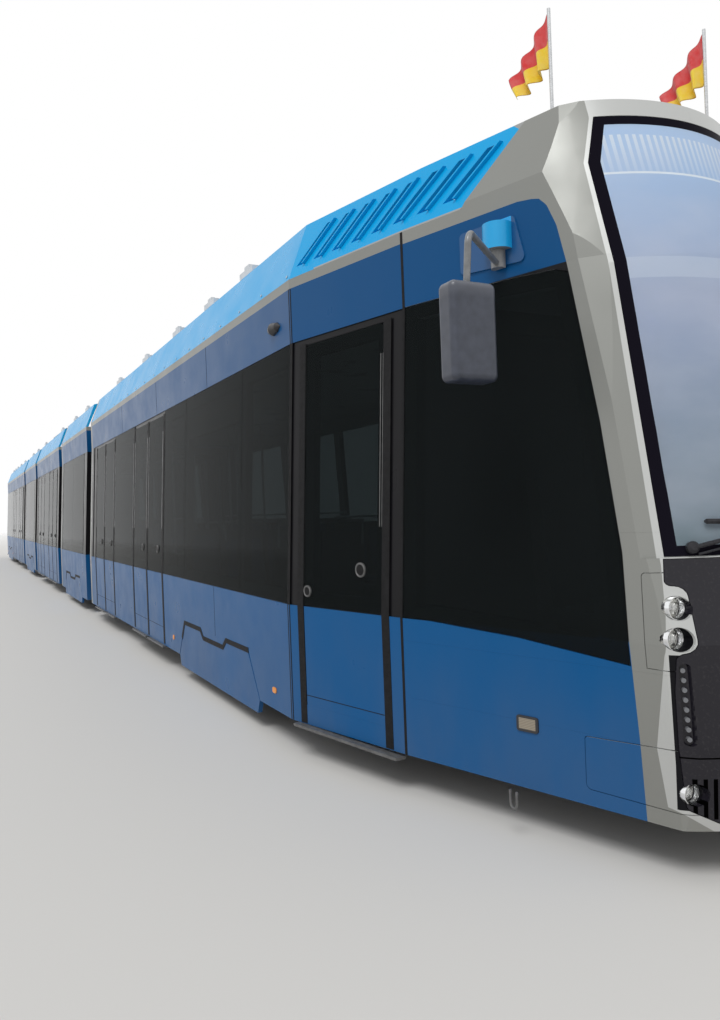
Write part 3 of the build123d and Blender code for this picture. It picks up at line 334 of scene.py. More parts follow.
def glass_material():
    """Dark side panes, and a windscreen coloured with a painted reflection of the sky, with a black printed
    border.
    """
    shader = Shader("tinted_panes")
    front = shader.both(shader.over(shader.past, 1.5), shader.under(shader.across, 0.56))
    border, low, high = 0.040, 1.23, 3.11
    printed = shader.over(shader.across, shader.minus(shader.curve(shader.z, 1.2, 3.2, screen_line), border))
    printed = shader.either(printed, shader.under(shader.z, low + border))
    printed = shader.both(front, shader.either(printed, shader.over(shader.z, high - border)))
    # The windscreen's colour is a painted reflection of the sky, paler higher up
    sky = shader.mix(shader.spread(shader.z, 1.3, 2.2, 0.0, 1.0), (0.30, 0.38, 0.43), (0.42, 0.50, 0.68))
    sky = shader.mix(shader.spread(shader.z, 2.3, 3.0, 0.0, 1.0), sky, (0.50, 0.68, 0.94))
    # Painted reflections: the ribbed header's light, and the pale lines under it
    header, top = 2.84, 3.02
    bars = shader.over(shader.wave("SINE", shader.y, 0.030), 0.1)
    bars = shader.both(bars, shader.within(shader.z, header, top))
    bars = shader.both(bars, shader.spread(shader.z, header, top, 0.15, 0.75))
    sky = shader.mix(bars, sky, (0.88, 0.95, 1.0))
    sky = shader.mix(shader.within(shader.z, 2.832, 2.842), sky, (0.85, 0.93, 1.0))
    sky = shader.mix(shader.both(shader.within(shader.z, 2.36, 2.45), 0.35), sky, (0.75, 0.85, 0.96))
    # Painted reflection of clouds
    clouds = shader.spread(shader.noise(1.7, 4.0, (1.0, 1.0, 2.0)), 0.35, 0.70, 0.0, 0.35)
    sky = shader.mix(clouds, sky, (0.72, 0.76, 0.86))
    clear = shader.mix(front, (0.10, 0.12, 0.125), sky)
    shader.set(Base_Color=shader.mix(printed, clear, (0.008, 0.007, 0.012)))
    shader.set(Roughness=shader.patches(5.0, 4.0, 0.0, 0.05, 0.4, 0.8))
    see_through = shader.spread(shader.z, 1.3, 2.6, 0.50, 0.24)
    through = shader.mix(front, (0.93, 0.93, 0.93), see_through)
    shader.set(Transmission_Weight=shader.both(through, shader.inverse(printed)), IOR=1.05)
    shader.bump(shader.noise(1.1, 1.0), 0.12, 0.01)
    return shader.material


def mask_material():
    """Black gloss, a seam over the lower flap, and the grille's slots drawn on round the fog lamps as painted
    shade.
    """
    shader = Shader("front_mask")
    speck = shader.patches(90.0, 4.0, 0.0, 0.5, 0.55, 0.8)
    # The slots' near-black is painted shade in the grille's openings
    slots = shader.over(shader.wave("COSINE", shader.y, 0.032), 0.195)
    slots = shader.both(slots, shader.within(shader.across, 0.455, 0.563))
    slots = shader.both(slots, shader.within(shader.z, 0.250, 0.402))
    cut = shader.either(slots, shader.within(shader.z, 0.476, 0.482))
    colour = shader.mix(speck, (0.012, 0.011, 0.016), (0.045, 0.042, 0.045))
    shader.set(Base_Color=shader.mix(cut, colour, (0.001, 0.001, 0.001)))
    shader.set(Roughness=shader.patches(8.0, 4.0, 0.10, 0.32, 0.3, 0.8))
    surface = shader.inverse(cut)
    shader.set(Coat_Weight=shader.both(surface, 0.22), Specular_IOR_Level=shader.both(surface, 0.24))
    return shader.set(Coat_Roughness=0.04).material


def simple_material(name, colour, roughness, metallic, wear, scale, grain):
    """Moulded or painted stuff: uneven colour and gloss, fine grain."""
    shader = Shader(name)
    darker = tuple(c * (1.0 - wear) for c in colour)
    lighter = tuple(min(1.0, c * (1.0 + wear)) for c in colour)
    shader.set(Base_Color=shader.mix(shader.patches(scale, 6.0, 0.0, 1.0), darker, lighter))
    shader.set(Roughness=shader.patches(scale * 2.5, 5.0, roughness - 0.08, roughness + 0.10))
    shader.set(Metallic=metallic)
    shader.bump(shader.noise(scale * 60.0, 3.0), 0.5, grain)
    if max(colour) < 0.05:
        shader.set(Specular_IOR_Level=0.15)
    return shader.material


def lamp_material():
    """Mirror bowls behind clear lenses, unlit grey day lights, amber side lamps and framed reflectors."""
    shader = Shader("lamps")
    high = shader.both(shader.over(shader.z, 0.87), shader.over(shader.past, 2.2501))
    low = shader.both(shader.under(shader.z, 0.40), shader.over(shader.past, 2.2901))
    lens = shader.either(high, low)
    led = shader.both(shader.over(shader.past, 2.30), shader.within(shader.z, 0.50, 0.86))
    amber = shader.under(shader.past, 0.0)
    plate = shader.within(shader.past, 1.5, 1.8)
    rim = [shader.over(shader.math("ABSOLUTE", shader.minus(value, middle)), half)
           for value, middle, half in ((shader.past, 1.665, 0.041), (shader.z, 0.490, 0.024))]
    pattern = shader.add("ShaderNodeTexWave", {"Vector": shader.place, "Scale": 45.0},
                         bands_direction="Z").outputs[1]
    face = shader.mix(pattern, (0.20, 0.17, 0.13), (0.36, 0.31, 0.24))
    face = shader.mix(shader.either(*rim), face, (0.030, 0.030, 0.034))
    colour = shader.mix(lens, (0.80, 0.80, 0.78), (1.0, 1.0, 1.0))
    colour = shader.mix(led, colour, (0.17, 0.175, 0.19))
    colour = shader.mix(amber, colour, shader.mix(pattern, (0.75, 0.22, 0.02), (0.95, 0.38, 0.05)))
    shader.set(Base_Color=shader.mix(plate, colour, face))
    solid = shader.either(shader.either(lens, led), shader.either(amber, plate))
    shader.set(Metallic=shader.inverse(solid), Transmission_Weight=lens, Roughness=0.10)
    return shader.material


def mirror_material():
    """By place: hatch plate, motor housing, clamp and tube, mirror head, side camera."""
    shader = Shader("mirror_arm")
    away = shader.length(shader.minus(shader.past, 1.545), shader.minus(shader.across, 0.744))
    motor = shader.both(shader.under(away, 0.0685), shader.over(shader.z, 2.572 + flange))
    near_skin = shader.spread(shader.past, 1.2, 1.8, 0.8350, 0.6607)
    hatch = shader.both(shader.under(shader.across, near_skin), shader.over(shader.z, 2.49 + flange))
    grain = shader.patches(30.0, 6.0, 0.0, 1.0)
    head = shader.mix(grain, (0.030, 0.036, 0.054), (0.048, 0.056, 0.080))
    # The head's upper part turns paler: a painted highlight
    head = shader.mix(shader.spread(shader.z, 2.26, 2.325, 0.0, 0.45), head, (0.18, 0.19, 0.22))
    steel = shader.mix(grain, (0.16, 0.165, 0.17), (0.24, 0.245, 0.25))
    colour = shader.mix(shader.over(shader.z, 2.330), head, steel)
    # The hatch plate takes the darker upper blue: painted shade
    colour = shader.mix(hatch, colour, shaded_upper_blue)
    # The motor housing's bright blue is painted skylight
    colour = shader.mix(motor, colour, skylight_blue)
    colour = shader.mix(shader.under(shader.past, 0.0), colour, gloss_black)
    shader.set(Base_Color=colour, Roughness=shader.patches(60.0, 4.0, 0.28, 0.45))
    shader.bump(shader.noise(900.0, 2.0), 0.3, 0.0004)
    return shader.set(Coat_Weight=0.15, Coat_Roughness=0.08).material


def cloth_material():
    """Red upper half, yellow lower half, with a plain weave."""
    shader = Shader("flag_cloth")
    place = shader.add("ShaderNodeUVMap", uv_map="cut").outputs[0]
    across, down = shader.add("ShaderNodeSeparateXYZ", {0: place}).outputs[:2]
    waves = (shader.math("SINE", shader.both(axis, 1900.0)) for axis in (across, down))
    threads = shader.math("ADD", *(shader.math("ABSOLUTE", wave) for wave in waves))
    patch = shader.patches(25.0, 4.0, 0.0, 0.3)
    colour = shader.mix(shader.over(down, 0.5 * flag_hoist), (0.62, 0.020, 0.022), (0.85, 0.58, 0.010))
    colour = shader.mix(patch, colour, shader.mix(0.35, colour, (0.9, 0.9, 0.9)))
    hem = shader.either(shader.under(down, 0.006), shader.over(down, flag_hoist - 0.006))
    colour = shader.mix(shader.both(hem, 0.4), colour, (0.25, 0.02, 0.01))
    shader.bump(threads, 0.35, 0.0003)
    shader.set(Base_Color=colour, Roughness=shader.spread(threads, 0.0, 2.0, 0.75, 0.92))
    return shader.set(Sheen_Weight=0.3, Subsurface_Weight=0.15, Subsurface_Scale=0.01).material


def seat_material():
    """Blue moquette with small lighter flecks, as a generic woven pattern."""
    shader = Shader("seat_fabric")
    cells = shader.add("ShaderNodeTexVoronoi", {"Vector": shader.place, "Scale": 55.0}).outputs[0]
    fleck = shader.under(cells, 0.22)
    colour = shader.mix(shader.noise(40.0, 5.0), (0.010, 0.035, 0.110), (0.016, 0.060, 0.180))
    colour = shader.mix(fleck, colour, (0.05, 0.20, 0.42))
    shader.bump(shader.noise(1500.0, 2.0), 0.6, 0.0006)
    shader.set(Base_Color=colour, Roughness=shader.patches(90.0, 3.0, 0.80, 0.95))
    return shader.set(Sheen_Weight=0.4).material


def display_material():
    """An unlit matrix of amber dots behind glass."""
    shader = Shader("display_matrix")
    waves = [shader.wave("SINE", axis, 0.012) for axis in (shader.x, shader.y, shader.z)]
    along, across, up = (shader.both(wave, wave) for wave in waves)
    dot = shader.both(shader.over(shader.either(along, across), 0.6), shader.over(up, 0.6))
    shader.set(Base_Color=shader.mix(dot, (0.010, 0.010, 0.012), (0.20, 0.075, 0.012)))
    shader.set(Roughness=shader.patches(50.0, 3.0, 0.30, 0.45))
    return shader.material


materials = {
    "shell": shell_material(),
    "nose": nose_material(),
    "roof": roof_material(),
    "door": door_material(),
    "glass": glass_material(),
    "mask": mask_material(),
    "lamp": lamp_material(),
    "mirror": mirror_material(),
    "cloth": cloth_material(),
    "seat": seat_material(),
    "display": display_material(),
}

# Plain stuff: name, colour, roughness, metallic, wear, scale, grain
plain = {
    "underframe": ("underframe", (0.030, 0.030, 0.032), 0.62, 0.0, 0.5, 5.0, 0.001),
    "bogie": ("bogie_paint", (0.060, 0.062, 0.066), 0.58, 0.0, 0.5, 7.0, 0.001),
    "wheel": ("wheel_steel", (0.190, 0.165, 0.145), 0.46, 0.85, 0.35, 9.0, 0.001),
    "roof_gear": ("roof_gear", (0.520, 0.530, 0.520), 0.50, 0.0, 0.12, 4.0, 0.0006),
    "cab": ("cab_plastic", (0.055, 0.056, 0.060), 0.55, 0.0, 0.2, 20.0, 0.0004),
    "pale_panel": ("pale_panel", (0.62, 0.66, 0.70), 0.45, 0.0, 0.06, 20.0, 0.0003),
    "grey_panel": ("grey_panel", (0.16, 0.17, 0.18), 0.55, 0.0, 0.15, 25.0, 0.0004),
    "steel": ("brushed_steel", (0.55, 0.56, 0.57), 0.28, 0.9, 0.10, 60.0, 0.0002),
    "grey_metal": ("grey_metal", (0.13, 0.13, 0.13), 0.45, 0.3, 0.25, 30.0, 0.0004),
    "chrome": ("lamp_chrome", (0.86, 0.87, 0.88), 0.14, 1.0, 0.04, 60.0, 0.00005),
    "bezel": ("lamp_bezel", (0.030, 0.030, 0.034), 0.30, 0.0, 0.2, 40.0, 0.0002),
    "rubber": ("bellows_rubber", (0.022, 0.022, 0.024), 0.72, 0.0, 0.35, 14.0, 0.0008),
    "seal": ("door_seal", (0.010, 0.010, 0.011), 0.60, 0.0, 0.3, 30.0, 0.0004),
    "panto": ("panto_steel", (0.300, 0.310, 0.320), 0.40, 0.7, 0.25, 16.0, 0.0004),
}
materials.update({key: simple_material(*look) for key, look in plain.items()})

# Which material each CAD node takes, by the first word of its name or else by the last
node_finish = {
    "bogie": "bogie", "wheelset": "wheel", "panto": "panto", "bellows": "rubber", "shell": "shell",
    "floor": "underframe", "roof": "roof", "glazing": "glass", "doors": "door", "nose": "nose",
    "mask": "mask", "lamps": "lamp", "seats": "cab", "gear": "roof_gear", "cab": "cab", "mirrors": "mirror",
    "poles": "steel", "flags": "cloth",
}


def dress_nodes():
    for name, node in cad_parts.items():
        words = name.split("_")
        finish = node_finish.get(words[0]) or node_finish[words[-1]]
        node.data.materials.clear()
        node.data.materials.append(materials[finish])


def mesh_object(name, verts, faces, material, body, smooth=False):
    """A new piece from points and faces, riding on a body."""
    mesh = bpy.data.meshes.new(name)
    mesh.from_pydata([tuple(v) for v in verts], [], faces)
    mesh.materials.append(materials[material])
    for polygon in mesh.polygons:
        polygon.use_smooth = smooth
    piece = bpy.data.objects.new(name, mesh)
    bpy.context.scene.collection.objects.link(piece)
    if body:
        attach(piece, body)
    return piece


def bellows(name, x):
    """Corrugated rubber between two sections, with its folds round the whole gangway."""
    half, depth, folds = 0.224, 0.045, 9
    side, top, low = 1.085, 2.780 + flange, 0.275
    lean, corner = 0.082, 0.12
    outline = [(side, low), (side, waist), (side - lean, glass_top), (side - lean, top - corner)]
    outline += [(side - lean - corner * (1 - cos(turn)), top - corner * (1 - sin(turn)))
                for turn in (pi / 6, pi / 3, pi / 2)]
    outline += [(0.0, top)] + [(-y, z) for y, z in reversed(outline)]
    rings = []
    steps = 4 * folds
    for i in range(steps + 1):
        here = x - half + 2 * half * i / steps
        inset = depth * (0.5 - 0.5 * cos(2 * pi * folds * i / steps))
        rings.append([(here, y * (1 - inset / side), z - inset * (z > glass_top)) for y, z in outline])
    # The inner skin closes the folds' backs
    count = len(outline)
    for i in (steps, 0):
        rings.append([(rings[i][0][0], y * 0.93, z - 0.10 * (z > glass_top)) for y, z in outline])
    verts = [point for ring in rings for point in ring]
    faces = []
    for r in range(len(rings)):
        after = (r + 1) % len(rings)
        for k in range(count - 1):
            faces.append((r * count + k, r * count + k + 1, after * count + k + 1, after * count + k))
    faces.append([r * count for r in range(len(rings))])
    faces.append([r * count + count - 1 for r in reversed(range(len(rings)))])
    piece = mesh_object(name + "_folds", verts, faces, "rubber", None)
    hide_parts(name)
    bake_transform(piece)


class Parts:
    """Small closed shapes that become one piece. x runs from the kink, or another origin, to that end."""

    def __init__(self, end=1, origin=kink):
        self.end, self.origin = end, origin
        self.verts, self.faces = [], []

    def add(self, points, faces):
        start = len(self.verts)
        self.verts += [(self.end * (self.origin + x), y, z) for x, y, z in points]
        self.faces += [[start + i for i in face] for face in faces]

    def side(self, x, z):
        """Half width of the body's side."""
        half = half_width - side_lean * (min(max(z, waist), glass_top) - waist)
        if self.origin == kink:
            module = module_end - kink
            half -= taper * min(max(x, 0.0), module) + max(x - module, 0.0) * tan(radians(cab_turn))
        return half

    def rings(self, rings, closed=False):
        """A skin over a row of rings of points, closed at its ends or joined end to end."""
        count = len(rings[0])
        rows = len(rings) if closed else len(rings) - 1
        faces = []
        for r in range(rows):
            after = (r + 1) % len(rings)
            for k in range(count):
                n = (k + 1) % count
                faces.append((r * count + k, r * count + n, after * count + n, after * count + k))
        if not closed:
            last = (len(rings) - 1) * count
            faces += [range(count), range(last, last + count)]
        self.add([point for ring in rings for point in ring], faces)

    def box(self, low, high):
        (x0, y0, z0), (x1, y1, z1) = low, high
        self.rings([[(x, y0, z0), (x, y1, z0), (x, y1, z1), (x, y0, z1)] for x in (x0, x1)])

    def lathe(self, centre, axis, profile, sides=16, closed=False):
        """A turned form; its profile has (radius, distance along the axis)."""
        centre, axis = Vector(centre), Vector(axis).normalized()
        first = axis.orthogonal().normalized()
        second = axis.cross(first)
        turns = [2 * pi * k / sides for k in range(sides)]
        self.rings([[centre + axis * h + r * (cos(t) * first + sin(t) * second) for t in turns]
                    for r, h in profile], closed)

    def tube(self, points, radius, sides=8):
        points = [Vector(p) for p in points]
        rings = []
        first = None
        for i, point in enumerate(points):
            along = (points[min(i + 1, len(points) - 1)] - points[max(i - 1, 0)]).normalized()
            first = along.orthogonal() if first is None else first - along * first.dot(along)
            first.normalize()
            second = along.cross(first)
            rings.append([point + radius * (cos(t) * first + sin(t) * second)
                          for t in (2 * pi * k / sides for k in range(sides))])
        self.rings(rings)

    def strip(self, side, path, width, proud, sunk=0.001):
        """A flat strip on the body's side along a path of (distance, height)."""
        whole = []
        for (x0, z0), (x1, z1) in zip(path, path[1:]):
            shares = {0.0}
            for start, end, marks in ((z0, z1, (waist, glass_top)), (x0, x1, (0.0, module_end - kink))):
                shares |= {(mark - start) / (end - start) for mark in marks
                           if min(start, end) < mark < max(start, end)}
            whole += [(x0 + (x1 - x0) * share, z0 + (z1 - z0) * share) for share in sorted(shares)]
        whole.append(path[-1])
        rings = []
        for i, (x, z) in enumerate(whole):
            here = Vector((x, z))
            before = (here - Vector(whole[i - 1])).normalized() if i else None
            after = (Vector(whole[i + 1]) - here).normalized() if i + 1 < len(whole) else None
            before, after = before or after, after or before
            out = Vector((-before.y - after.y, before.x + after.x)).normalized()
            out *= width / 2 / max(0.3, out.dot(Vector((-before.y, before.x))))
            corners = ((here + out, proud), (here - out, proud), (here - out, -sunk), (here + out, -sunk))
            rings.append([(edge.x, side * (self.side(*edge) + depth), edge.y) for edge, depth in corners])
        self.rings(rings)

    def build(self, name, material, body, slot, smooth_angle=35.0):
        piece = mesh_object(name, self.verts, self.faces, material, body, True)
        mesh = piece.data
        shape = bmesh.new()
        shape.from_mesh(mesh)
        bmesh.ops.remove_doubles(shape, verts=shape.verts, dist=1e-6)
        bmesh.ops.recalc_face_normals(shape, faces=shape.faces)
        for edge in shape.edges:
            edge.smooth = edge.is_manifold and edge.calc_face_angle(0.0) < radians(smooth_angle)
        shape.to_mesh(mesh)
        shape.free()
        return piece


def front_x(y, z, inset=0.0):
    """Where the front's bulge is, at a place across and a height."""
    (z0, x0), (z1, x1) = next((a, b) for a, b in zip(front_line, front_line[1:]) if z <= b[0])
    ahead = x0 + (x1 - x0) * (z - z0) / (z1 - z0)
    axis = front_axis - max(0.0, z - screen_foot) * tan(radians(screen_rake))
    radius = ahead - axis - inset
    return axis + (radius * radius - y * y) ** 0.5


def push_button(ring, disc, place, axis, radius, sides):
    """A raised ring with a dark disc in it."""
    ring.lathe(place, axis, [(radius, -0.001), (radius, 0.008), (radius - 0.006, 0.011),
                             (radius - 0.012, 0.006), (0.010, 0.009), (0.001, 0.009)], sides)
    disc.lathe(place, axis, [(radius - 0.011, 0.004), (radius - 0.011, 0.0085), (0.010, 0.010),
                             (0.001, 0.010)], sides)


def build_all(letter, *rows):
    """Builds a section's pieces, each from (shapes, name, material, slot), where there are shapes; the slot
    is not used.
    """
    for parts, name, material, slot in rows:
        if parts.verts:
            parts.build(f"{letter}_{name}", material, "section_" + letter, slot)


def side_trim(letter, end, origin, leaves, seams, covers):
    """Seals, door furniture, panel seams and the black edges of the bogie covers on a section's sides."""
    seals, metal, buttons, sills = (Parts(end, origin) for _ in range(4))
    edges = sorted({edge for leaf in leaves for edge in leaf})
    for edge in edges:
        seals.strip(-1, [(edge, skirt + 0.015), (edge, door_top + 0.012)], 0.056, 0.0022)
        for x in (edge - 0.040, edge + 0.040):
            if edges[0] < x < edges[-1]:
                metal.strip(-1, [(x, 1.33), (x, 2.28)], 0.005, 0.0016)
    for x0, x1 in leaves:
        seals.strip(-1, [(x0 + 0.02, door_seam), (x1 - 0.02, door_seam)], 0.004, 0.0008)
        sills.strip(-1, [(x0 - 0.03, door_sill), (x1 + 0.03, door_sill)], 0.016, 0.028, 0.020)
        x = x1 - 0.190
        push_button(buttons, seals, (x, -seals.side(x, door_button), door_button), (0, -1, 0), 0.038, 24)
    slope = (cover_low - cover_high) / (cover_z - skirt)
    start = skirt + 0.52 * (cover_z - skirt)
    cover = [(-cover_low + slope * (start - skirt), start), (-cover_high, cover_z),
             (-cover_notch - 0.04, cover_z), (-cover_notch + 0.04, notch_z), (cover_notch - 0.04, notch_z),
             (cover_notch + 0.04, cover_z), (cover_high + 0.012, cover_z)]
    for side in (-1, 1):
        for x, z0, z1, width in seams:
            seals.strip(side, [(x, z0), (x, z1)], width, 0.0008)
        for centre in covers:
            seals.strip(side, [(centre + x, z) for x, z in cover], 0.036, 0.0025)
    build_all(letter, (seals, "seals", "seal", "bellows_rubber"),
              (metal, "metal_trim", "steel", "panto_steel"),
              (buttons, "door_buttons", "grey_metal", "panto_steel"),
              (sills, "door_sills", "grey_metal", "panto_steel"))


def cab_trim(letter, end):
    """What the head sections have more: the cab door's edges, display, wiper, lamp bezels and front trim."""
    seals, metal, buttons, display, wiper, bezels, ribs, dash = (Parts(end) for _ in range(8))
    for x in (0.120, 0.838):
        seals.strip(-1, [(x, skirt + 0.005), (x, door_top + 0.012)], 0.056, 0.0022)
    for side in (-1, 1):
        seals.strip(side, [(0.0, skirt), (0.0, silver_strip)], 0.030, 0.0012)
        seals.strip(side, [(0.955, skirt), (0.955, gutter)], 0.016, 0.0012)
    seals.strip(-1, [(0.150, door_seam), (0.805, door_seam)], 0.004, 0.0008)
    buttons.strip(-1, [(0.070, door_sill), (0.925, 0.180)], 0.016, 0.040, 0.020)
    for x in (0.790, 0.808):
        metal.strip(-1, [(x, 1.36), (x, 2.27)], 0.005, 0.0016)
    normal = (sin(atan(taper)), -cos(atan(taper)), 0)
    for x, z, radius in ((0.648, door_button, 0.040), (0.190, 0.988, 0.034)):
        push_button(buttons, seals, (x, -seals.side(x, z), z), normal, radius, 28)
    # Side display behind the second window's upper part
    rear, front, low, high = -2.320, -0.980, 2.110, 2.350
    corners = ((low, 0.011), (high, 0.011), (high, 0.050), (low, 0.050))
    display.rings([[(x, -display.side(x, z) + depth, z) for z, depth in corners] for x in (rear, front)])
    display.box((rear, -1.075, high), (front, -1.060, high + 0.003))
    # Ribbed light above the destination box, behind the screen
    behind = 0.045
    for y in (0.022 * i for i in range(-19, 20)):
        places = [(front_x(y, z, behind), z) for z in (2.860, 2.935, 3.010)]
        corners = ((0.0, -0.006), (0.0, 0.006), (-0.012, 0.006), (-0.012, -0.006))
        ribs.rings([[(x + depth, y + across, z) for depth, across in corners] for x, z in places])
    for z in (2.855, 3.012):
        ribs.rings([[(front_x(y, z, behind + depth), y, z + lift)
                     for depth, lift in ((0.0, 0.0), (0.0, 0.008), (0.02, 0.008), (0.02, 0.0))]
                    for y in (-0.43 + 0.043 * i for i in range(21))])
    # The dashboard's hood with its slots
    dash.box((2.060, -0.440, 1.120), (2.085, 0.440, 1.450))
    dash.box((2.070, -0.440, 1.450), (2.085, 0.440, 1.575))
    for y in (0.021 * i for i in range(-20, 21)):
        dash.box((2.085, y - 0.005, 1.455), (2.097, y + 0.005, 1.570))
    # Wiper, parked along the screen's lower edge
    wiper.lathe((front_x(0.455, 1.262), -0.455, 1.262), (1, -0.5, 0.2),
                [(0.024, -0.004), (0.024, 0.014), (0.014, 0.024), (0.002, 0.026)], 16)
    arm = [(front_x(y, z) + 0.020, y, z)
           for y, z in ((-0.455, 1.265), (-0.30, 1.300), (-0.12, 1.330), (0.02, 1.345))]
    wiper.tube(arm, 0.009)
    wiper.tube([(x + 0.002, y + 0.01, z - 0.028) for x, y, z in arm[:3]], 0.005)
    blade = [(y, 1.345 + 0.04 * abs(y)) for y in (-0.40 + 0.08 * i for i in range(11))]
    corners = ((0.004, -0.004), (0.004, 0.004), (0.016, 0.010), (0.022, 0.0), (0.016, -0.010))
    wiper.rings([[(front_x(y, z) + out, y, z + lift) for out, lift in corners] for y, z in blade])
    for side in (-1, 1):
        for y, z, x, radius in front_lamps:
            bezels.lathe((x, side * y, z), (1, 0, 0), [(radius, 0.0), (radius, 0.020),
                         (radius - 0.003, 0.020), (radius - 0.006, 0.004), (radius - 0.006, 0.0)], 28, True)
            bezels.lathe((x - 0.048, side * y, z), (1, 0, 0),
                         [(0.013, 0.0), (0.013, 0.022), (0.008, 0.030), (0.001, 0.032)], 16)
    # Small shackle that hangs under the cab's right side
    loop = [(1.662 - 0.022 * cos(t), 0.160 - 0.022 * sin(t)) for t in (0, pi / 4, pi / 2, 3 * pi / 4, pi)]
    metal.tube([(x, -0.860, z) for x, z in [(1.640, 0.215), *loop, (1.684, 0.215)]], 0.006)
    build_all(letter, (seals, "cab_seals", "seal", "bellows_rubber"),
              (metal, "cab_metal_trim", "grey_metal", "panto_steel"),
              (buttons, "cab_door_buttons", "grey_metal", "panto_steel"),
              (display, "side_display", "display", "black_gloss"),
              (wiper, "wiper", "bezel", "black_gloss"),
              (bezels, "lamp_bezels", "chrome", "lamp_glass"),
              (ribs, "screen_header", "pale_panel", "roof_grey"),
              (dash, "dash_hood", "grey_panel", "cab_plastic"))


def roof_trim(letter, end, origin, places, low, high):
    """Lifting brackets on the fairings' upper edges and, from low to high, bolts along their lower edges."""
    brackets, bolts = Parts(end, origin), Parts(end, origin)
    top = fairing_top + 0.012
    count = int((high - low) / 0.45)
    for side in (-1, 1):
        for x in places:
            y0, y1 = sorted((side * 0.925, side * 0.975))
            brackets.box((x - 0.14, y0, top - 0.001), (x + 0.14, y1, top + 0.045))
            brackets.box((x - 0.05, y0 + 0.008, top + 0.044), (x + 0.05, y1 - 0.008, top + 0.075))
        y = side * (bolts.side(0.0, glass_top) - 0.0105)
        for i in range(count + 1):
            x = low + 0.05 + (high - low - 0.10) * i / count
            bolts.lathe((x, y, gutter + 0.030), (0, side, 0.38),
                        [(0.009, 0.0), (0.009, 0.004), (0.005, 0.0055), (0.001, 0.0055)], 10)
    build_all(letter, (brackets, "roof_brackets", "pale_panel", "roof_grey"),
              (bolts, "fairing_bolts", "steel", "panto_steel"))


# Benches: distance of the cushion's rear edge, side, facing, seat height, inner edge and width
on_podium, on_pedestal = (podium, 0.425, 0.680), (pedestal, 0.460, 0.640)
head_benches = [(x, side, facing, *on_podium)
                for x, facing in ((-2.650, 1), (-1.650, -1), (-1.500, 1), (-0.520, -1)) for side in (-1, 1)]
head_benches += [(x, 1, 1, *on_pedestal) for x in (-3.600, -4.500, -5.400, -6.300)]
short_benches = [(x, side, -1 if x > 0 else 1, *on_podium) for x in (-1.150, 1.150) for side in (-1, 1)]
middle_benches = [(x, 1, 1, *on_pedestal) for x in (-1.600, -0.450, 0.700)]

# Grab poles: distances on the right and on the left of the aisle
head_poles = ((-3.120, -4.700, -5.690, -7.250, -0.120), (-3.120, -4.700, -6.000, -0.120))
middle_poles = ((-0.420, 0.420), (-1.750, 1.750))


def pad(parts, centre, forward, size):
    """A crowned cushion, drawn in between its corners, with two sewn channels."""
    centre, right, forward = Vector(centre), Vector((0, 1, 0)), Vector(forward).normalized()
    up = right.cross(forward)
    up *= 1 if up.z > 0 or (abs(up.z) < 0.5 and up.x * forward.z < 0) else -1
    width, length, height = size
    steps, turns, square = 9, 24, 0.36
    rings = []
    for i in range(steps):
        lift = -1 + 2 * i / (steps - 1)
        shrink = max(0.02, (1 - abs(lift) ** 3.2)) ** square
        ring = []
        for k in range(turns):
            t = 2 * pi * (k + 0.5) / turns
            u, v = (abs(c) ** square * (1 if c > 0 else -1) for c in (cos(t), sin(t)))
            shrunk = shrink * (1 - 0.03 * (1 - min(abs(u), abs(v)) ** 2))
            u, v = u * shrunk, v * shrunk
            crown = height * 0.16 * (1 - u * u) * (1 - v * v) if lift > 0 else 0.0
            channel = 0.006 * max(0.0, 1 - abs(abs(u) - 0.42) * 9) if lift > 0.4 else 0.0
            ring.append(centre + right * (u * width / 2) + forward * (v * length / 2)
                        + up * (lift * height / 2 * 0.84 + crown - channel))
        rings.append(ring)
    parts.rings(rings)


def seats(letter, end, origin, benches, poles):
    """Moulded seat shells on their stands, a cushion and a back pad on each seat, and the grab poles."""
    body, node = "section_" + letter, letter + "_seats"
    shells, pads, rails = (Parts(end, origin) for _ in range(3))
    outline = [(0.0, 0.0), (0.43, 0.0), (0.435, 0.030), (0.030, 0.036), (-0.064, 0.600), (-0.090, 0.600),
               (-0.030, 0.080), (-0.030, 0.0)]
    for x, side, facing, base, inner, width in benches:
        for seat in (0, 1):
            y0 = side * (inner + 0.004 + seat * width / 2)
            y1 = side * (inner - 0.004 + (seat + 1) * width / 2)
            shells.rings([[(x + facing * u, y, base + contact + v) for u, v in outline] for y in (y0, y1)])
            y = (y0 + y1) / 2
            half = width / 2
            pad(pads, (x + facing * 0.235, y, base + 0.060), (facing, 0, 0), (half - 0.035, 0.370, 0.050))
            pad(pads, (x, y, base + 0.345), (-facing * 0.166, 0, 1), (half - 0.040, 0.420, 0.036))
        if base == pedestal:
            x0, x1 = sorted((x + facing * 0.06, x + facing * 0.33))
            shells.box((x0, 0.500, floor_top + 0.0005), (x1, 1.060, base))
        near, far = side * (inner + 0.03), side * (inner + width - 0.03)
        foot, grip = (x - facing * 0.085, base + 0.50), (x - facing * 0.105, base + 0.66)
        rails.tube([(u, y, z) for (u, z), y in ((foot, near), (grip, near), (grip, far), (foot, far))], 0.012)
    for places, y in zip(poles, (-0.430, 0.430)):
        for x in places:
            rails.tube([(x, y, floor_top + contact), (x, y, ceiling - contact)], 0.017, 12)
            for z, up in ((floor_top + contact, 1), (ceiling - contact, -1)):
                rails.lathe((x, y, z), (0, 0, up), [(0.036, 0.0), (0.036, 0.006), (0.018, 0.016)], 16)
    shell = shells.build(letter + "_seat_shells", "cab", body, "cab_plastic")
    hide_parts(node)
    cushions = pads.build(letter + "_seat_cushions", "seat", body, "seat_fabric", 60.0)
    rails.build(letter + "_grab_rails", "steel", body, "panto_steel")


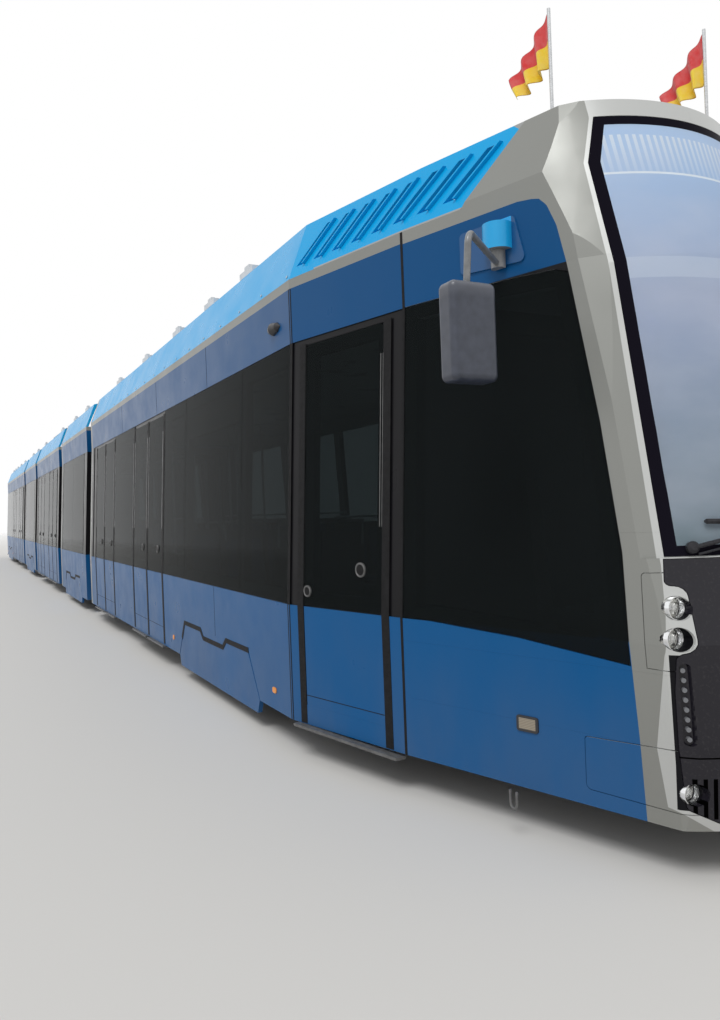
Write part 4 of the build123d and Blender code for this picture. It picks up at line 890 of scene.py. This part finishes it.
def flag(name, x, y, top):
    """A cloth that hangs from its hoist along a pole; its lower hem is gathered into folds."""
    columns, rows = 64, 28
    verts, cut = [], []
    for i in range(columns + 1):
        u = i / columns
        for j in range(rows + 1):
            v = j / rows
            sweep = -0.009 - u * (0.205 - 0.060 * v ** 1.2) + 0.006 * sin(2 * pi * u) * v
            drop = v * flag_hoist + u * (0.215 - 0.120 * v) + 0.012 * sin(pi * u) * (1 - v)
            wave = (0.014 + 0.014 * v) * sin(2 * pi * flag_folds * u + 0.8 * v) * min(1.0, 5 * u) - 0.050 * u
            verts.append((kink + x + sweep, y + wave, top - 0.016 - drop * flag_drop))
            cut.append((u * flag_fly, v * flag_hoist))
    faces = []
    for i in range(columns):
        for j in range(rows):
            a = i * (rows + 1) + j
            faces.append((a, a + 1, a + rows + 2, a + rows + 1))
    piece = mesh_object(name, verts, faces, "cloth", "section_a", True)
    layer = piece.data.uv_layers.new(name="cut")
    for loop in piece.data.loops:
        layer.data[loop.index].uv = cut[loop.vertex_index]
    thick = piece.modifiers.new("thickness", "SOLIDIFY")
    thick.thickness = 0.0012
    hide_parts("a_flags")


def wheel_bolts(name):
    """A ring of hexagon bolts and a hub cap on both wheels of a wheelset."""
    low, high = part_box(name)
    x = (low[0] + high[0]) / 2
    # Radius of the bolts' ring, and places across of the wheel's face and of the hub's
    ring, face, hub = 0.205, 0.7435, 0.7695
    parts = Parts(1, 0.0)
    for side in (-1, 1):
        for turn in (2 * pi * k / 8 for k in range(8)):
            parts.lathe((x + ring * cos(turn), side * face, axle_height + ring * sin(turn)), (0, side, 0),
                        [(0.013, -0.012), (0.013, 0.008), (0.009, 0.010), (0.001, 0.010)], 6)
        parts.lathe((x, side * hub, axle_height), (0, side, 0),
                    [(0.075, 0.0), (0.070, 0.008), (0.030, 0.012), (0.001, 0.012)], 20)
    parts.build(name + "_bolts", "steel", name, "wheel_steel")


def camera():
    """The photograph's view: standing beside the front end, looking back along the tram."""
    yaw, pitch, roll = radians(27.51), radians(-0.19), radians(-2.14)
    ahead = Vector((-cos(yaw) * cos(pitch), sin(yaw) * cos(pitch), sin(pitch)))
    right = ahead.cross(Vector((0, 0, 1))).normalized()
    up = right.cross(ahead)
    level_right = cos(roll) * right + sin(roll) * up
    level_up = -sin(roll) * right + cos(roll) * up
    data = bpy.data.cameras.new("view")
    data.lens, data.sensor_width = 27.53, 36.0
    data.clip_start, data.clip_end = 0.05, 200.0
    held = bpy.data.objects.new("view", data)
    turned = Matrix((level_right, level_up, -ahead)).transposed().to_4x4()
    held.matrix_world = Matrix.Translation((18.265, -2.964, 1.464)) @ turned
    bpy.context.scene.collection.objects.link(held)
    bpy.context.scene.camera = held


def studio():
    """Pale floor, white background for the eye and for reflections, soft light on the object."""
    size = 120.0
    mesh = bpy.data.meshes.new("floor")
    corners = [(-size, -size, 0), (size, -size, 0), (size, size, 0), (-size, size, 0)]
    mesh.from_pydata(corners, [], [(0, 1, 2, 3)])
    floor = bpy.data.objects.new("floor", mesh)
    bpy.context.scene.collection.objects.link(floor)
    shader = Shader("pale_floor")
    shader.set(Base_Color=(0.66, 0.65, 0.63), Roughness=0.9)
    shader.set(Alpha=shader.spread(shader.length(shader.x, shader.y), 22.0, 90.0, 1.0, 0.0))
    mesh.materials.append(shader.material)

    world = bpy.data.worlds.new("studio")
    bpy.context.scene.world = world
    world.use_nodes = True
    tree = world.node_tree
    background = tree.nodes["Background"]
    background.inputs["Color"].default_value = (1.0, 1.0, 1.0, 1.0)
    path = tree.nodes.new("ShaderNodeLightPath")
    seen = path.outputs["Is Camera Ray"]
    for ray in ("Is Glossy Ray", "Is Transmission Ray"):
        either = tree.nodes.new("ShaderNodeMath")
        either.operation = "MAXIMUM"
        tree.links.new(seen, either.inputs[0])
        tree.links.new(path.outputs[ray], either.inputs[1])
        seen = either.outputs[0]
    level = tree.nodes.new("ShaderNodeMapRange")
    level.inputs["To Min"].default_value = 0.62
    level.inputs["To Max"].default_value = 1.0
    tree.links.new(seen, level.inputs["Value"])
    tree.links.new(level.outputs[0], background.inputs["Strength"])

    sun = bpy.data.lights.new("key", "SUN")
    sun.energy, sun.angle = 1.5, radians(25)
    held = bpy.data.objects.new("key", sun)
    towards = Vector((-0.45, 0.55, -1.0))
    held.rotation_euler = towards.to_track_quat("-Z", "Y").to_euler()
    bpy.context.scene.collection.objects.link(held)
    bpy.context.scene.view_settings.view_transform = "Standard"


dress_nodes()
inner_gangway = (middle_half + short_centre - short_half) / 2
outer_gangway = (short_centre + short_half + head_rear) / 2
for name, x in (("bellows_ab", outer_gangway), ("bellows_bc", inner_gangway), ("bellows_cd", -inner_gangway),
                ("bellows_de", -outer_gangway)):
    bellows(name, x)

upper = (glass_top, silver_strip)
head_seams = [(x, *upper, 0.005) for x in (-1.769, -3.520, -5.323)] + [(-1.526, cover_z, waist, 0.004)]
for letter, end in (("a", 1), ("e", -1)):
    side_trim(letter, end, kink, head_leaves, head_seams, [bogie_x])
    cab_trim(letter, end)
    roof_trim(letter, end, kink, (-1.15, -2.10, -3.20, -4.60, -6.20), head_rear - kink, 0.0)
    seats(letter, end, kink, head_benches, head_poles)
for letter, end in (("b", 1), ("d", -1)):
    side_trim(letter, end, short_centre, (), [(0.0, *upper, 0.005)], [0.0])
    roof_trim(letter, end, short_centre, (-0.70, 0.70), -short_half, short_half)
    seats(letter, end, short_centre, short_benches, ())
side_trim("c", 1, 0.0, middle_leaves, [(x, *upper, 0.005) for x in (-0.49, 0.49)], [])
roof_trim("c", 1, 0.0, (-1.60, 1.60), -middle_half, middle_half)
seats("c", 1, 0.0, middle_benches, middle_poles)
for letter in "abde":
    for number in "12":
        wheel_bolts("wheelset_" + letter + number)
flag("a_flag_right", 1.700, -0.535, 3.170 + flange + 0.460)
flag("a_flag_left", 1.895, 0.235, 3.170 + flange + 0.450)
camera()
studio()
